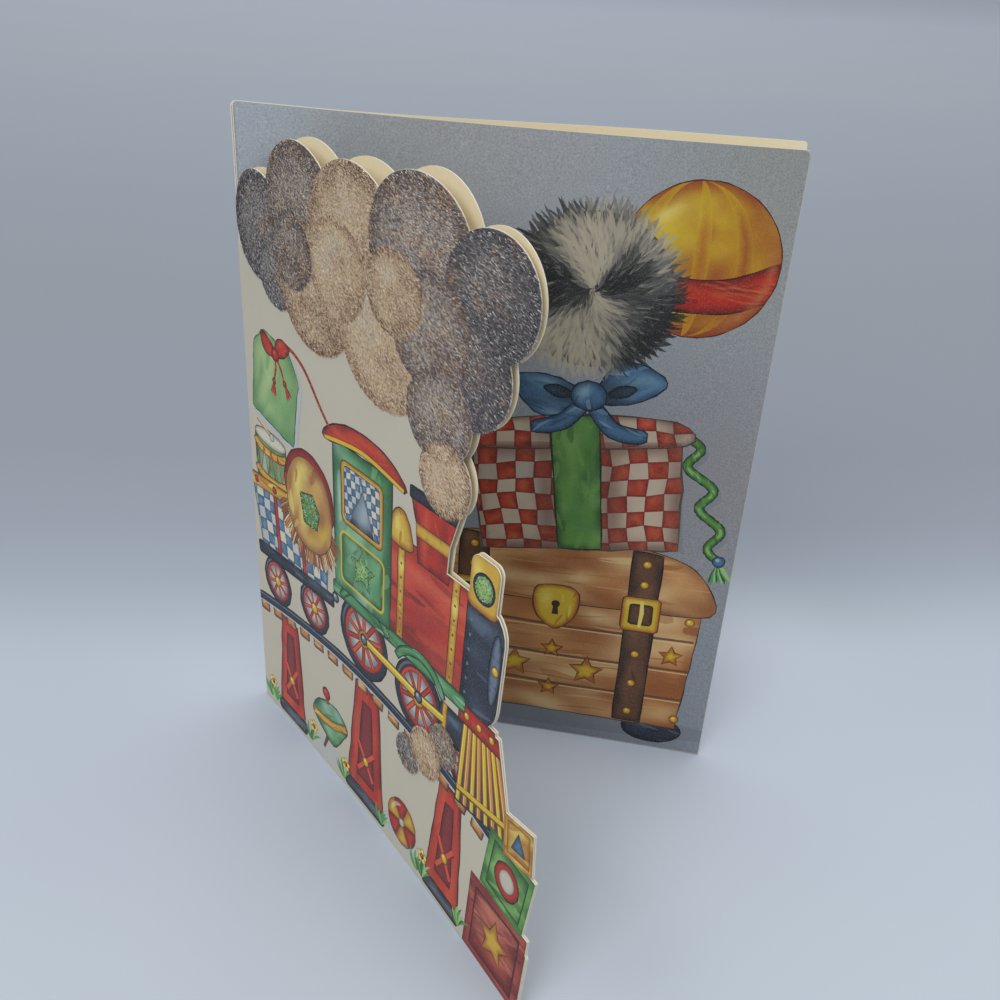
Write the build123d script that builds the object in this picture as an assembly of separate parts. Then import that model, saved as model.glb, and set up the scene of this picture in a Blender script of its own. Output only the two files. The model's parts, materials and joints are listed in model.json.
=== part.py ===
from build123d import *
import math
import os

# A folded greeting card that stands open. One printed sheet is folded across its foot and then
# down its spine, so every leaf is two layers of card. The two front layers are die cut together.
# The page lies along +X, the front leaf swings out of it towards -Y, and +Z is up the spine.

# Driving sizes of the card, in millimetres and degrees
leaf_width = 139.7
leaf_height = 184.15
card_thickness = 0.3
foot_clearance = 0.12
spine_bend_radius = 0.5
foot_round = 0.22
page_corner_left = 1.5
page_corner_right = 0.8

# How the card stands: the front leaf is less open at its top than at its foot, by the twist
opening_angle = 46.0
front_twist = 6.5
front_bow = 2.3
page_bow_foot = 1.3
page_bow_top = -2.3

# How far the two layers of a leaf spring apart at the top edge: the front ones bulge apart
# near the spine and come together again towards their free edge
front_gape_spine = 0.1
front_gape_middle = 6.8
front_gape_edge = 0.8
front_gape_reach = 28.0
front_gape_start = 64.0
front_gape_end = 126.0
page_gape_edge = 10.0
page_gape_start = 20.0
page_gape_end = 110.0

# Leaf size that the die line was drawn for, and where it leaves the spine, above the foot:
# the places of the die line move in step with the real leaf
drawn_width = 139.7
drawn_height = 184.15
spine_cut_height = 149.0

# Rounded parts of the die line
nose_round = 7.0
lamp_width = 10.0
lamp_height = 14.0
lamp_round = 2.5

# Places of the shaping points along a leaf, as fractions of its width: the last is trimmed away
run_stations = (0.13, 0.28, 0.46, 0.68, 0.9, 1.03)

layer_pitch = card_thickness + foot_clearance
scale_across = leaf_width / drawn_width
scale_up = leaf_height / drawn_height
scale_round = min(scale_across, scale_up)

# Room that the cutting shapes take beyond the card
margin = 8.0
reach = 60.0


def along(angle):
    """Unit direction in plan at an angle below the X axis."""
    turn = math.radians(angle)
    return Vector(math.cos(turn), -math.sin(turn), 0)


def page_bow(height):
    return page_bow_foot + (page_bow_top - page_bow_foot) * height / leaf_height


def opening(height):
    return opening_angle - front_twist * height / leaf_height


def rise(height):
    """Share of the full gape at a height: the layers part slowly and then spring open."""
    return (height / leaf_height) ** 2


def ease(distance, start, end):
    """A smooth climb from 0 at the start to 1 at the end."""
    share = min(max((distance - start) / (end - start), 0), 1)
    return share * share * (3 - 2 * share)


def front_gape(distance, height):
    share = 1 - math.exp(-distance / front_gape_reach)
    bulge = front_gape_spine + (front_gape_middle - front_gape_spine) * share
    closing = ease(distance, front_gape_start, front_gape_end)
    return (bulge + (front_gape_edge - bulge) * closing) * rise(height)


def page_gape(distance, height):
    return page_gape_edge * ease(distance, page_gape_start, page_gape_end) * rise(height)


def page_points(height, outward, gaping):
    """Plan points of the page's middle surface, from the spine to the free edge."""
    points = []
    for share in run_stations:
        distance = share * leaf_width
        shift = outward + gaping * page_gape(distance, height)
        shift += page_bow(height) * math.sin(math.pi * share)
        points.append(Vector(distance, shift, height))
    return points


def front_points(height, outward, gaping):
    """Plan points of the front leaf's middle surface, from the spine to the free edge."""
    direction = along(opening(height))
    away = Vector(direction.Y, -direction.X, 0)
    points = []
    for share in run_stations:
        distance = share * leaf_width
        shift = outward + gaping * front_gape(distance, height)
        shift -= front_bow * math.sin(math.pi * share)
        points.append(direction * distance + away * shift + Vector(0, 0, height))
    return points


def spine_arc(height, page_shift, front_shift, radius, side):
    """Start, middle and end of the bend at the spine, for one face of a layer."""
    angle = opening(height)
    direction = along(angle)
    away = Vector(direction.Y, -direction.X, 0)
    corner_x = (front_shift - page_shift * away.Y) / away.X
    corner = Vector(corner_x, page_shift, height)
    inside = along(angle / 2)
    centre = corner + inside * (radius / math.sin(math.radians(angle / 2)))
    face_radius = radius + side
    return [
        centre + Vector(0, 1, 0) * face_radius,
        centre - inside * face_radius,
        centre + away * face_radius,
    ]


def shifted(points, arc_end, side, outward_sign):
    """Points of a face beside the middle surface, with the bend's end in front."""
    face = [arc_end]
    for index, point in enumerate(points):
        before = points[index - 1] if index else arc_end
        after = points[min(index + 1, len(points) - 1)]
        step = (after - before).normalized()
        normal = Vector(-step.Y, step.X, 0) * outward_sign
        face.append(point + normal * side)
    return face


def faces(height, shift, gaping):
    """Both faces of a layer at a height, outer then inner: page run, spine bend and front run."""
    front_shift = shift + gaping * front_gape(0, height)
    page = page_points(height, shift, gaping)
    front = front_points(height, shift, gaping)
    radius = spine_bend_radius + shift
    both = []
    for side in (card_thickness / 2, -card_thickness / 2):
        bend = spine_arc(height, shift, front_shift, radius, side)
        both.append((shifted(page, bend[0], side, 1), bend, shifted(front, bend[2], side, -1)))
    return both


def section(outer, inner):
    """Closed outline in plan between two faces, from the page's free edge round to the front's."""
    return Wire([
        Spline(*reversed(outer[0])),
        ThreePointArc(*outer[1]),
        Spline(*outer[2]),
        Line(outer[2][-1], inner[2][-1]),
        Spline(*reversed(inner[2])),
        ThreePointArc(*reversed(inner[1])),
        Spline(*inner[0]),
        Line(inner[0][-1], outer[0][-1]),
    ])


def layer(shift, gaping):
    """One layer of card, lofted from the top of the foot fold to the top edge."""
    heights = (card_thickness, leaf_height / 2, leaf_height)
    return Solid.make_loft([section(*faces(height, shift, gaping)) for height in heights])


def foot_fold():
    """The pressed fold that joins the two layers along the foot, rounded underneath."""
    outer = faces(card_thickness, layer_pitch, 1)[0]
    inner = faces(card_thickness, 0, 0)[1]
    fold = Solid.extrude(Face(section(outer, inner)), Vector(0, 0, -card_thickness))
    lowest = fold.edges().group_by(Axis.Z)[0]
    long_edges = lowest.filter_by(lambda edge: edge.length > leaf_width / 2)
    return fillet(long_edges, foot_round)


def spot(across, up):
    """A place on the front leaf: across from the spine and up from the foot."""
    return (across * scale_across, up * scale_up)


def scenery():
    """Ground under the track, and the plain card left of the chimney up to the spine cut."""
    return Polygon(
        spot(-margin, 0), spot(drawn_width, 0), spot(drawn_width, 19), spot(122, 40), spot(117, 68),
        spot(86, 68), spot(86, spine_cut_height), spot(-margin, spine_cut_height), align=None,
    )


def steam():
    """Scalloped cloud of steam: places and radii of its puffs, from the chimney to the spine."""
    puffs = [
        (91.2, 120, 9), (88, 134, 11), (97, 147, 12.5), (101.5, 164, 13.5), (80, 167.6, 16.5),
        (57, 163.5, 18), (35, 166, 15.5), (14.8, 157, 13.8), (68, 146, 18), (40, 148, 16), (84, 150, 16),
    ]
    cloud = Sketch()
    for across, up, radius in puffs:
        cloud += Pos(*spot(across, up)) * Circle(radius * scale_round)
    return cloud


def engine():
    """Boiler with its round nose, the lamp on it, the flared chimney and the guard at the rails."""
    low_x, low_y = spot(60, 66)
    nose_x, top_y = spot(116.5, 97.5)
    boiler = Rectangle(nose_x - low_x, top_y - low_y, align=(Align.MIN, Align.MIN))
    boiler = Pos(low_x, low_y) * fillet(boiler.vertices().group_by(Axis.X)[-1], nose_round * scale_round)
    lamp = RectangleRounded(lamp_width * scale_across, lamp_height * scale_up, lamp_round * scale_round)
    lamp = Pos(*spot(107.5, 101)) * lamp
    chimney = Polygon(
        spot(82, 95), spot(94, 95), spot(94.5, 104), spot(97.5, 114), spot(79, 114),
        spot(81.5, 104), align=None,
    )
    guard = Polygon(spot(104, 67), spot(118.5, 67), spot(128, 42), spot(104, 38), align=None)
    return boiler + lamp + chimney + guard


def toy_blocks():
    """Three toy blocks piled at the front leaf's free corner: place, size and tilt of each."""
    blocks = [(127, 12, 24, 0), (128.5, 33, 18, -5), (130.5, 46.2, 11, 9)]
    pile = Sketch()
    for across, up, size, tilt in blocks:
        pile += Pos(*spot(across, up)) * Rot(0, 0, tilt) * Rectangle(size * scale_round, size * scale_round)
    return pile


def die_outline():
    """The die line of both front layers, kept inside the leaf."""
    outline = scenery() + steam() + engine() + toy_blocks()
    leaf = Rectangle(leaf_width + 2 * margin, leaf_height, align=(Align.MIN, Align.MIN))
    return outline & (Pos(-2 * margin, 0) * leaf)


def front_waste():
    """What the die takes away on the front's side of the spine."""
    direction = along(opening(leaf_height / 2))
    leaf_plane = Plane(origin=(0, 0, 0), x_dir=direction, z_dir=(direction.Y, -direction.X, 0))
    kept = extrude(leaf_plane * die_outline(), reach, both=True)
    split = along(opening(leaf_height) / 2) * (leaf_width * 1.5)
    side = Polygon(
        (0, reach / 2), (0, 0), (split.X, split.Y), (split.X, -leaf_width * 1.5),
        (-reach / 2, -leaf_width * 1.5), (-reach / 2, reach / 2), align=None,
    )
    zone = extrude(Pos(0, 0, -margin) * side, leaf_height + 2 * margin, dir=(0, 0, 1))
    return zone - kept


def page_waste():
    """What rounds the top corners of the page and of the layer behind it."""
    page_plane = Plane(origin=(0, 0, 0), x_dir=(1, 0, 0), z_dir=(0, -1, 0))
    frame = Polygon(
        (0, -margin), (leaf_width + margin, -margin), (leaf_width + margin, leaf_height + margin),
        (0, leaf_height + margin), align=None,
    )
    leaf = Polygon(
        (0, -margin), (leaf_width, -margin), (leaf_width, leaf_height), (0, leaf_height), align=None,
    )
    top = leaf.vertices().group_by(Axis.Y)[-1].sort_by(Axis.X)
    leaf = fillet(top[0], page_corner_left)
    right = leaf.vertices().group_by(Axis.Y)[-1].sort_by(Axis.X)[-1]
    leaf = fillet(right, page_corner_right)
    return extrude(page_plane * (frame - leaf), reach / 2, both=True)


def folded_card():
    sheet = layer(0, 0) + layer(layer_pitch, 1) + foot_fold()
    return sheet - front_waste() - page_waste()


def standing(shape):
    """Moved so that its foot is on the ground and its box is centred on the Z axis."""
    box = shape.bounding_box()
    middle = box.center()
    return Pos(-middle.X, -middle.Y, -box.min.Z) * shape


card = standing(folded_card())
os.makedirs("parts", exist_ok=True)
export_step(card, "parts/card.step")
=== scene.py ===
import json
import math
import random
from collections import namedtuple

import bmesh
import bpy
import numpy as np
from mathutils import Matrix, Vector
from mathutils.geometry import delaunay_2d_cdt

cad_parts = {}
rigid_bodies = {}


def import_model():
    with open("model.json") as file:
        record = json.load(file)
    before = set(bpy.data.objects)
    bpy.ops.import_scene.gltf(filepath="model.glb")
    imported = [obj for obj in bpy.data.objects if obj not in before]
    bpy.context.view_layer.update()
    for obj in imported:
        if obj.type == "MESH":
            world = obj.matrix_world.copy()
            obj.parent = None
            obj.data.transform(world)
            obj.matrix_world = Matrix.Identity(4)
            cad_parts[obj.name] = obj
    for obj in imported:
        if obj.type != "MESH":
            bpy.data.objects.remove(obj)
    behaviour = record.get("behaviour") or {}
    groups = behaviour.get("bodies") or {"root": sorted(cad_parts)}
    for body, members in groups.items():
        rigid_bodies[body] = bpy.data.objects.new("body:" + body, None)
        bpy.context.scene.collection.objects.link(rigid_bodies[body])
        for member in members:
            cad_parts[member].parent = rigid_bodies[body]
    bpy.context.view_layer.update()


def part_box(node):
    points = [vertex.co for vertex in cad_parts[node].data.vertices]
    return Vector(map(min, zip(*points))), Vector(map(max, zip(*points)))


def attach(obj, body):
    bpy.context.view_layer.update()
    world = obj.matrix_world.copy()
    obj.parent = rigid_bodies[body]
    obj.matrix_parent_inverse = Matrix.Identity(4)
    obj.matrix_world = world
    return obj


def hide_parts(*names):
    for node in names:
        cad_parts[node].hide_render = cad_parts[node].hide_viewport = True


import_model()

# How the card is folded and stands, in millimetres and degrees, as in the CAD source
WIDE, HIGH, THICK, CLEARANCE = 139.7, 184.15, 0.3, 0.12
BEND, OPENING, TWIST, FRONT_BOW = 0.5, 46.0, 6.5, 2.3
PAGE_BOW_FOOT, PAGE_BOW_TOP = 1.3, -2.3
FRONT_GAPE_SPINE, FRONT_GAPE_MIDDLE, FRONT_GAPE_EDGE = 0.1, 6.8, 0.8
FRONT_GAPE_REACH, FRONT_GAPE_START, FRONT_GAPE_END = 28.0, 64.0, 126.0
PAGE_GAPE, PAGE_GAPE_START, PAGE_GAPE_END = 10.0, 20.0, 110.0
SPINE_CUT = 149.0
BEND_ZONE = 3.0
BEND_COLUMNS = (0.15, 0.3, 0.45, 0.6, 0.75, 0.9, 1.2, 1.6, 2.2, 3.0)
PITCH = THICK + CLEARANCE
FOLD = PITCH / 2 * math.pi / 2
FOOT = THICK / 2 + PITCH / 2
TOP = HIGH - FOOT + FOLD


# The sheet's place in space. A run is a distance from the spine along a leaf, positive on the page and
# negative on the front leaf. A climb is a distance from the foot, positive on the outer layer and
# negative on the inner one.

def ease(distance, start, end):
    """A smooth climb from 0 at the start to 1 at the end."""
    share = np.clip((distance - start) / (end - start), 0, 1)
    return share * share * (3 - 2 * share)


def middle(run, z, shift, gaping):
    """Plan place of the middle of the sheet."""
    turn = np.radians(OPENING - TWIST * z / HIGH)
    rise = (z / HIGH) ** 2
    ahead = np.cos(turn), -np.sin(turn)
    away = -np.sin(turn), -np.cos(turn)
    front_shift = shift + gaping * FRONT_GAPE_SPINE * rise
    corner = (front_shift - shift * away[1]) / away[0]
    radius = BEND + shift
    reach = radius / np.tan(turn / 2)
    page_start = corner + reach
    front_start = corner * ahead[0] + shift * ahead[1] + reach
    arc = radius * (np.pi - turn) / 2
    inner = np.where(run >= 0, arc + BEND_ZONE - page_start, arc + BEND_ZONE - front_start)
    path = np.where(run >= BEND_ZONE, arc + run - page_start, run / BEND_ZONE * inner)
    path = np.where(run <= -BEND_ZONE, run - arc + front_start, path)
    out = np.clip(path - arc, 0, None)
    bow = PAGE_BOW_FOOT + (PAGE_BOW_TOP - PAGE_BOW_FOOT) * z / HIGH
    page_y = shift + gaping * PAGE_GAPE * ease(page_start + out, PAGE_GAPE_START, PAGE_GAPE_END) * rise
    page_y = page_y + bow * np.sin(np.pi * np.clip(out / (WIDE - page_start), 0, 1))
    page_x = page_start + out
    out = np.clip(-path - arc, 0, None)
    bulge = FRONT_GAPE_SPINE + (FRONT_GAPE_MIDDLE - FRONT_GAPE_SPINE) * (1 - np.exp(-out / FRONT_GAPE_REACH))
    closing = ease(front_start + out, FRONT_GAPE_START, FRONT_GAPE_END)
    side = shift + gaping * rise * (bulge + (FRONT_GAPE_EDGE - bulge) * closing)
    side = side - FRONT_BOW * np.sin(np.pi * np.clip(out / (WIDE - front_start), 0, 1))
    front_x = ahead[0] * (front_start + out) + away[0] * side
    front_y = ahead[1] * (front_start + out) + away[1] * side
    angle = np.pi - turn / 2 - path / radius
    bend_x = corner + reach + radius * np.cos(angle)
    bend_y = shift - radius + radius * np.sin(angle)
    x = np.where(path > arc, page_x, np.where(path < -arc, front_x, bend_x))
    y = np.where(path > arc, page_y, np.where(path < -arc, front_y, bend_y))
    return x, y


def place(run, climb, proud):
    """Points of the sheet in millimetres, raised from its middle towards the printed side."""
    run, climb, proud = np.broadcast_arrays(np.asarray(run, float), climb, proud)
    lean = np.clip(climb / (PITCH / 2), -np.pi / 2, np.pi / 2)
    z = FOOT - PITCH / 2 * np.cos(lean) + np.clip(np.abs(climb) - FOLD, 0, None)
    shift = PITCH / 2 * (1 + np.sin(lean))
    gaping = (climb > 0) * 1.0
    x, y = middle(run, z, shift, gaping)
    x1, y1 = middle(run + 0.03, z, shift, gaping)
    x0, y0 = middle(run - 0.03, z, shift, gaping)
    step = np.hypot(x1 - x0, y1 - y0)
    out_x, out_y = -(y1 - y0) / step, (x1 - x0) / step
    across = proud * np.sin(lean)
    return np.stack([x + out_x * across, y + out_y * across, z - proud * np.cos(lean)], -1)


def facing(run, climb):
    """Directions square to the sheet, on its printed side."""
    run, climb = np.broadcast_arrays(np.asarray(run, float), climb)
    across = place(run + 0.05, climb, 0) - place(run - 0.05, climb, 0)
    upwards = place(run, climb + 0.05, 0) - place(run, climb - 0.05, 0)
    square = np.cross(across, upwards)
    square *= np.sign((square * (place(run, climb, 1) - place(run, climb, 0))).sum(-1, keepdims=True))
    return square / np.linalg.norm(square, axis=-1, keepdims=True)


# Flat shapes in millimetres, as lists of points

def heading(turn):
    """The cosine and the sine of a turn in degrees."""
    return math.cos(math.radians(turn)), math.sin(math.radians(turn))


def disc(x, y, rx, ry=None, turn=0, count=26, start=0, end=360):
    """A circle or an ellipse, or an open arc of one."""
    ry = rx if ry is None else ry
    c, s = heading(turn)
    whole = end - start >= 360
    points = []
    for k in range(count):
        a = math.radians(start + (end - start) * k / (count if whole else count - 1))
        dx, dy = rx * math.cos(a), ry * math.sin(a)
        points.append((x + dx * c - dy * s, y + dx * s + dy * c))
    return points


def turned(points, x, y, turn):
    """Points turned about the origin and moved to a place."""
    c, s = heading(turn)
    return [(x + px * c - py * s, y + px * s + py * c) for px, py in points]


def slab(x0, y0, x1, y1, r=0.0, corners=(1, 1, 1, 1)):
    """Rectangle with corners rounded from the lower left one, counterclockwise."""
    if not r:
        return [(x0, y0), (x1, y0), (x1, y1), (x0, y1)]
    points = []
    for (cx, cy, a), on in zip(((x0, y0, 180), (x1, y0, 270), (x1, y1, 0), (x0, y1, 90)), corners):
        if not on:
            points.append((cx, cy))
            continue
        mx = cx + (r if cx == x0 else -r)
        my = cy + (r if cy == y0 else -r)
        points += disc(mx, my, r, count=6, start=a, end=a + 90)
    return points


def curve(points, closed=True, steps=4):
    """Smooth line through points."""
    n = len(points)
    out = []
    for i in range(n if closed else n - 1):
        if closed:
            p = [points[(i + k) % n] for k in (-1, 0, 1, 2)]
        else:
            p = [points[min(max(i + k, 0), n - 1)] for k in (-1, 0, 1, 2)]
        for k in range(steps):
            t = k / steps
            out.append(tuple(0.5 * (2 * b + (c - a) * t + (2 * a - 5 * b + 4 * c - d) * t * t + (3 * b - a - 3 * c
                    + d) * t ** 3) for a, b, c, d in zip(*p)))
    if not closed:
        out.append(points[-1])
    return out


def normals(points, closed):
    """Flat directions square to a line at its points, to the right of the way it runs."""
    n = len(points)
    out = []
    for i in range(n):
        a = points[(i - 1) % n] if closed else points[max(i - 1, 0)]
        b = points[(i + 1) % n] if closed else points[min(i + 1, n - 1)]
        dx, dy = b[0] - a[0], b[1] - a[1]
        size = math.hypot(dx, dy) or 1
        out.append((dy / size, -dx / size))
    return out


def turning(points):
    """Twice the area inside a loop, positive counterclockwise."""
    return sum(a[0] * b[1] - b[0] * a[1] for a, b in zip(points, points[1:] + points[:1]))


def grown(points, by):
    """A loop moved outwards, by one distance or by a list of them."""
    sign = 1 if turning(points) > 0 else -1
    by = by if isinstance(by, list) else [by] * len(points)
    return [(p[0] + n[0] * d * sign, p[1] + n[1] * d * sign) for p, n, d in zip(points, normals(points, True), by)]


def band(path, width, ends=0.5):
    """A drawn stroke along a path, narrower at its ends."""
    count = len(path)
    left, right = [], []
    for i, (p, n) in enumerate(zip(path, normals(path, False))):
        t = i / (count - 1)
        half = width / 2 * (ends + (1 - ends) * math.sin(math.pi * t) ** 0.5)
        left.append((p[0] + n[0] * half, p[1] + n[1] * half))
        right.append((p[0] - n[0] * half, p[1] - n[1] * half))
    return left + right[::-1]


def lens(x, y, length, width, turn, bow=0.0):
    """A brush mark: pointed at both ends, and a little bowed."""
    up, down = [], []
    for t in (0.0, 0.2, 0.5, 0.8, 1.0):
        along = (t - 0.5) * length
        mid = bow * length * (0.25 - (t - 0.5) ** 2) * 4
        half = width / 2 * math.sin(math.pi * t) ** 0.7 if 0 < t < 1 else 0
        up.append((along, mid + half))
        down.append((along, mid - half))
    return turned(down + up[-2:0:-1], x, y, turn)


def blot(x, y, long, wide, turn, ripple):
    """A patch with an uneven edge."""
    loop = []
    for k in range(12):
        a = math.pi * k / 6
        swell = 1 + 0.16 * math.sin(2 * a + ripple[0]) + 0.13 * math.sin(3 * a + ripple[1])
        loop.append((long / 2 * swell * math.cos(a), wide / 2 * swell * math.sin(a)))
    return turned(loop, x, y, turn)


def star(x, y, r, turn=90):
    """A star of five points."""
    return turned([((r if k % 2 == 0 else r * 0.45) * math.cos(k * math.pi / 5),
            (r if k % 2 == 0 else r * 0.45) * math.sin(k * math.pi / 5)) for k in range(10)], x, y, turn)


def evened(loop, most):
    """A loop whose long edges are divided."""
    out = []
    for a, b in zip(loop, loop[1:] + loop[:1]):
        count = max(1, math.ceil(math.hypot(b[0] - a[0], b[1] - a[1]) / most))
        out += [(a[0] + (b[0] - a[0]) * k / count, a[1] + (b[1] - a[1]) * k / count) for k in range(count)]
    return out


def inside_loop(points, loop):
    """Which points lie in a loop."""
    x, y = points[..., 0], points[..., 1]
    hit = np.zeros(x.shape, bool)
    for (x0, y0), (x1, y1) in zip(loop, loop[1:] + loop[:1]):
        if y0 != y1:
            hit ^= ((y0 > y) != (y1 > y)) & (x < (x1 - x0) * (y - y0) / (y1 - y0) + x0)
    return hit


def edge_distance(points, loop):
    """How far points lie from a loop's line."""
    best = np.full(points.shape[:-1], 1e9)
    for a, b in zip(loop, loop[1:] + loop[:1]):
        a, d = np.array(a), np.subtract(b, a)
        size = max(float(d @ d), 1e-12)
        t = np.clip(((points - a) @ d) / size, 0, 1)
        off = points - a - t[..., None] * d
        best = np.minimum(best, np.hypot(off[..., 0], off[..., 1]))
    return best


def partition(loops, extra, columns=()):
    """Triangles of overlapping loops: places, triangles, and the loops that each triangle lies in. No triangle
    crosses a column, so that the sheet can bend about it."""
    verts, edges, faces = [], [], []
    for loop in loops:
        faces.append(list(range(len(verts), len(verts) + len(loop))))
        verts += [Vector(p) for p in (loop if turning(loop) > 0 else loop[::-1])]
    verts += [Vector(p) for p in extra]
    for x in columns:
        ys = np.arange(0.0, HIGH + 4, 4.0)
        edges += [(len(verts) + k, len(verts) + k + 1) for k in range(len(ys) - 1)]
        verts += [Vector((x, y)) for y in ys]
    out = delaunay_2d_cdt(verts, edges, faces, 1, 1e-4, True)
    kept = [(t, o) for t, o in zip(out[2], out[5]) if o]
    used, tris = np.unique(np.array([k[0] for k in kept]), return_inverse=True)
    return np.array([tuple(v) for v in out[0]])[used], tris.reshape(-1, 3), [k[1] for k in kept]


# Die line of the front leaf

PUFFS = [(91.2, 120, 9), (88, 134, 11), (97, 147, 12.5), (101.5, 164, 13.5), (80, 167.6, 16.5), (57, 163.5, 18),
        (35, 166, 15.5), (14.8, 157, 13.8), (68, 146, 18), (40, 148, 16), (84, 150, 16)]
BLOCKS = [(127, 12, 24, 0), (128.5, 33, 18, -5), (130.5, 46.2, 11, 9)]


def block(x, y, size, turn):
    """A square about a place."""
    return turned(slab(-size / 2, -size / 2, size / 2, size / 2), x, y, turn)


def die_parts(over):
    """Loops that together are the front leaf, across from the spine and up from the foot."""
    parts = [[(-over, 0), (WIDE, 0), (WIDE, 19), (122, 40), (117, 68), (86, 68), (86, SPINE_CUT), (-over, SPINE_CUT)],
            slab(60, 66, 116.5, 97.5, 7, (0, 1, 1, 0)), slab(102.5, 94, 112.5, 108, 2.5), [(82, 95), (94, 95),
            (94.5, 104), (97.5, 114), (79, 114), (81.5, 104)], [(104, 67), (118.5, 67), (128, 42), (104, 38)]]
    parts += [disc(x, y, r, count=48) for x, y, r in PUFFS]
    parts += [block(*b) for b in BLOCKS]
    return [[(u, min(max(v, FOLD), TOP)) for u, v in part] for part in parts]


# Shading

class Wire:
    """A socket of a node tree that takes part in sums."""

    def __init__(self, tree, socket):
        self.tree, self.socket = tree, socket

    def __add__(self, other): return self.tree.maths("ADD", self, other)
    def __radd__(self, other): return self.tree.maths("ADD", other, self)
    def __sub__(self, other): return self.tree.maths("SUBTRACT", self, other)
    def __rsub__(self, other): return self.tree.maths("SUBTRACT", other, self)
    def __mul__(self, other): return self.tree.maths("MULTIPLY", self, other)
    def __rmul__(self, other): return self.tree.maths("MULTIPLY", other, self)
    def __truediv__(self, other): return self.tree.maths("DIVIDE", self, other)
    def __gt__(self, other): return self.tree.maths("GREATER_THAN", self, other)


class Tree:
    """Builds nodes in a tree."""

    def __init__(self, tree):
        self.tree = tree

    def node(self, kind, settings=None, sockets=None, out=0):
        made = self.tree.nodes.new(kind)
        for name, value in (settings or {}).items():
            if name == "stops":
                while len(made.color_ramp.elements) < len(value):
                    made.color_ramp.elements.new(0.5)
                for element, (at, tone) in zip(made.color_ramp.elements, value):
                    element.position, element.color = at, tone
            else:
                setattr(made, name, value)
        for key, value in (sockets or {}).items():
            socket = self.pick(made.inputs, key)
            if isinstance(value, Wire):
                self.tree.links.new(value.socket, socket)
            else:
                socket.default_value = value
        return Wire(self, self.pick(made.outputs, out))

    @staticmethod
    def pick(sockets, key):
        usable = [s for s in sockets if s.enabled]
        return usable[key] if isinstance(key, int) else next(s for s in usable if key in (s.name, s.identifier))

    def maths(self, operation, *values):
        return self.node("ShaderNodeMath", {"operation": operation}, dict(enumerate(values)))

    def beside(self, wire, out):
        """Another output of a wire's node."""
        return Wire(self, self.pick(wire.socket.node.outputs, out))

    def mix(self, share, a, b, way="MIX"):
        return self.node("ShaderNodeMix", {"data_type": "RGBA", "blend_type": way}, {"Factor_Float": share,
                "A_Color": a, "B_Color": b}, "Result_Color")

    def shaded(self, tone, shade, blue=None):
        """A tone made lighter or darker, with a shade of its own for its blue where that is given."""
        grey = self.node("ShaderNodeCombineColor", {}, {0: shade, 1: shade, 2: shade if blue is None else blue})
        return self.mix(1.0, tone, grey, "MULTIPLY")

    def ink(self):
        """The tone that is painted on the piece."""
        return self.node("ShaderNodeAttribute", {"attribute_name": "ink"}, {}, "Color")

    def noise(self, where, scale, detail=2.0, rough=0.5, **more):
        return self.node("ShaderNodeTexNoise", {}, {"Vector": where, "Scale": scale, "Detail": detail,
                "Roughness": rough, **more})


def linear(tone):
    """A tone of 0 to 255 a channel as linear light."""
    t = np.asarray(tone, float) / 255
    return np.where(t <= 0.04045, t / 12.92, ((t + 0.055) / 1.055) ** 2.4)


def full(tone):
    """A tone of 0 to 255 a channel, as a colour socket takes it."""
    return (*[float(c) for c in linear(tone)], 1.0)


def finish(name, make, **fixed):
    """A material: make gets its tree and the piece's own coordinates, and returns what changes over it."""
    made = bpy.data.materials.new(name)
    made.use_nodes = True
    tree = Tree(made.node_tree)
    shader = made.node_tree.nodes["Principled BSDF"]
    for key, value in fixed.items():
        shader.inputs[key.replace("_", " ")].default_value = value
    where = tree.node("ShaderNodeTexCoord", {}, {}, "Object")
    for key, value in make(tree, where).items():
        made.node_tree.links.new(value.socket, shader.inputs[key.replace("_", " ")])
    return made


def relief(t, height, distance):
    """Small bumps, a distance in metres high."""
    return t.node("ShaderNodeBump", {}, {"Strength": 1.0, "Distance": distance, "Height": height})


def stock_look(tone, spread, grain):
    """Bare card: one tone with clouds, fibres and flecks in it."""
    def make(t, where):
        cloud = t.noise(where, 90, 3)
        fibre = t.noise(where, 1500, 4, 0.65)
        fleck = t.noise(where, 5200, 2)
        shade = 1 + (cloud - 0.5) * spread + (fibre - 0.5) * spread * 0.8
        return {"Base_Color": t.shaded(full(tone), shade, shade - (cloud - 0.5) * 0.04),
                "Roughness": 0.62 + (fibre - 0.5) * 0.2, "Normal": relief(t, fibre + fleck * 0.5, grain)}
    return make


def ink_look(spread, speck, least, gaps, gloss, grain):
    """Printed colour: the tone that is painted on, broken by the grain of the printing. The speck is strongest
    in the deep tones and never under the least, and paper shows in the gaps between the dots of ink."""
    def make(t, where):
        tone = t.ink()
        pale = t.node("ShaderNodeRGBToBW", {}, {"Color": tone})
        inked = t.maths("MAXIMUM", 1 - pale * 1.8, least)
        wash = t.noise(where, 260, 4, 0.6, Distortion=0.6)
        fine = t.noise(where, 2300, 3, 0.7)
        screen = t.noise(where, 3400, 2, 0.6)
        shade = 1 + (wash - 0.5) * spread + (fine - 0.5) * speck * inked
        gap = t.node("ShaderNodeMapRange", {}, {"Value": screen, "From Min": 0.54, "From Max": 0.72, "To Max": gaps})
        broken = t.mix(gap * inked, tone, full(STOCK))
        return {"Base_Color": t.shaded(broken, shade), "Roughness": gloss + (wash - 0.5) * 0.12 + (fine - 0.5) * 0.1,
                "Normal": relief(t, fine + wash * 0.4, grain)}
    return make


def bed_look(t, where):
    """The short, dense flock under the single fibres, darkened on the whole by a fuzz: painted shade between the
    fibres.
    """
    fuzz = t.noise(where, 2400, 4, 0.7)
    return {"Base_Color": t.shaded(t.ink(), 0.55 + fuzz * 0.6), "Normal": relief(t, fuzz, 0.0002)}


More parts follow.
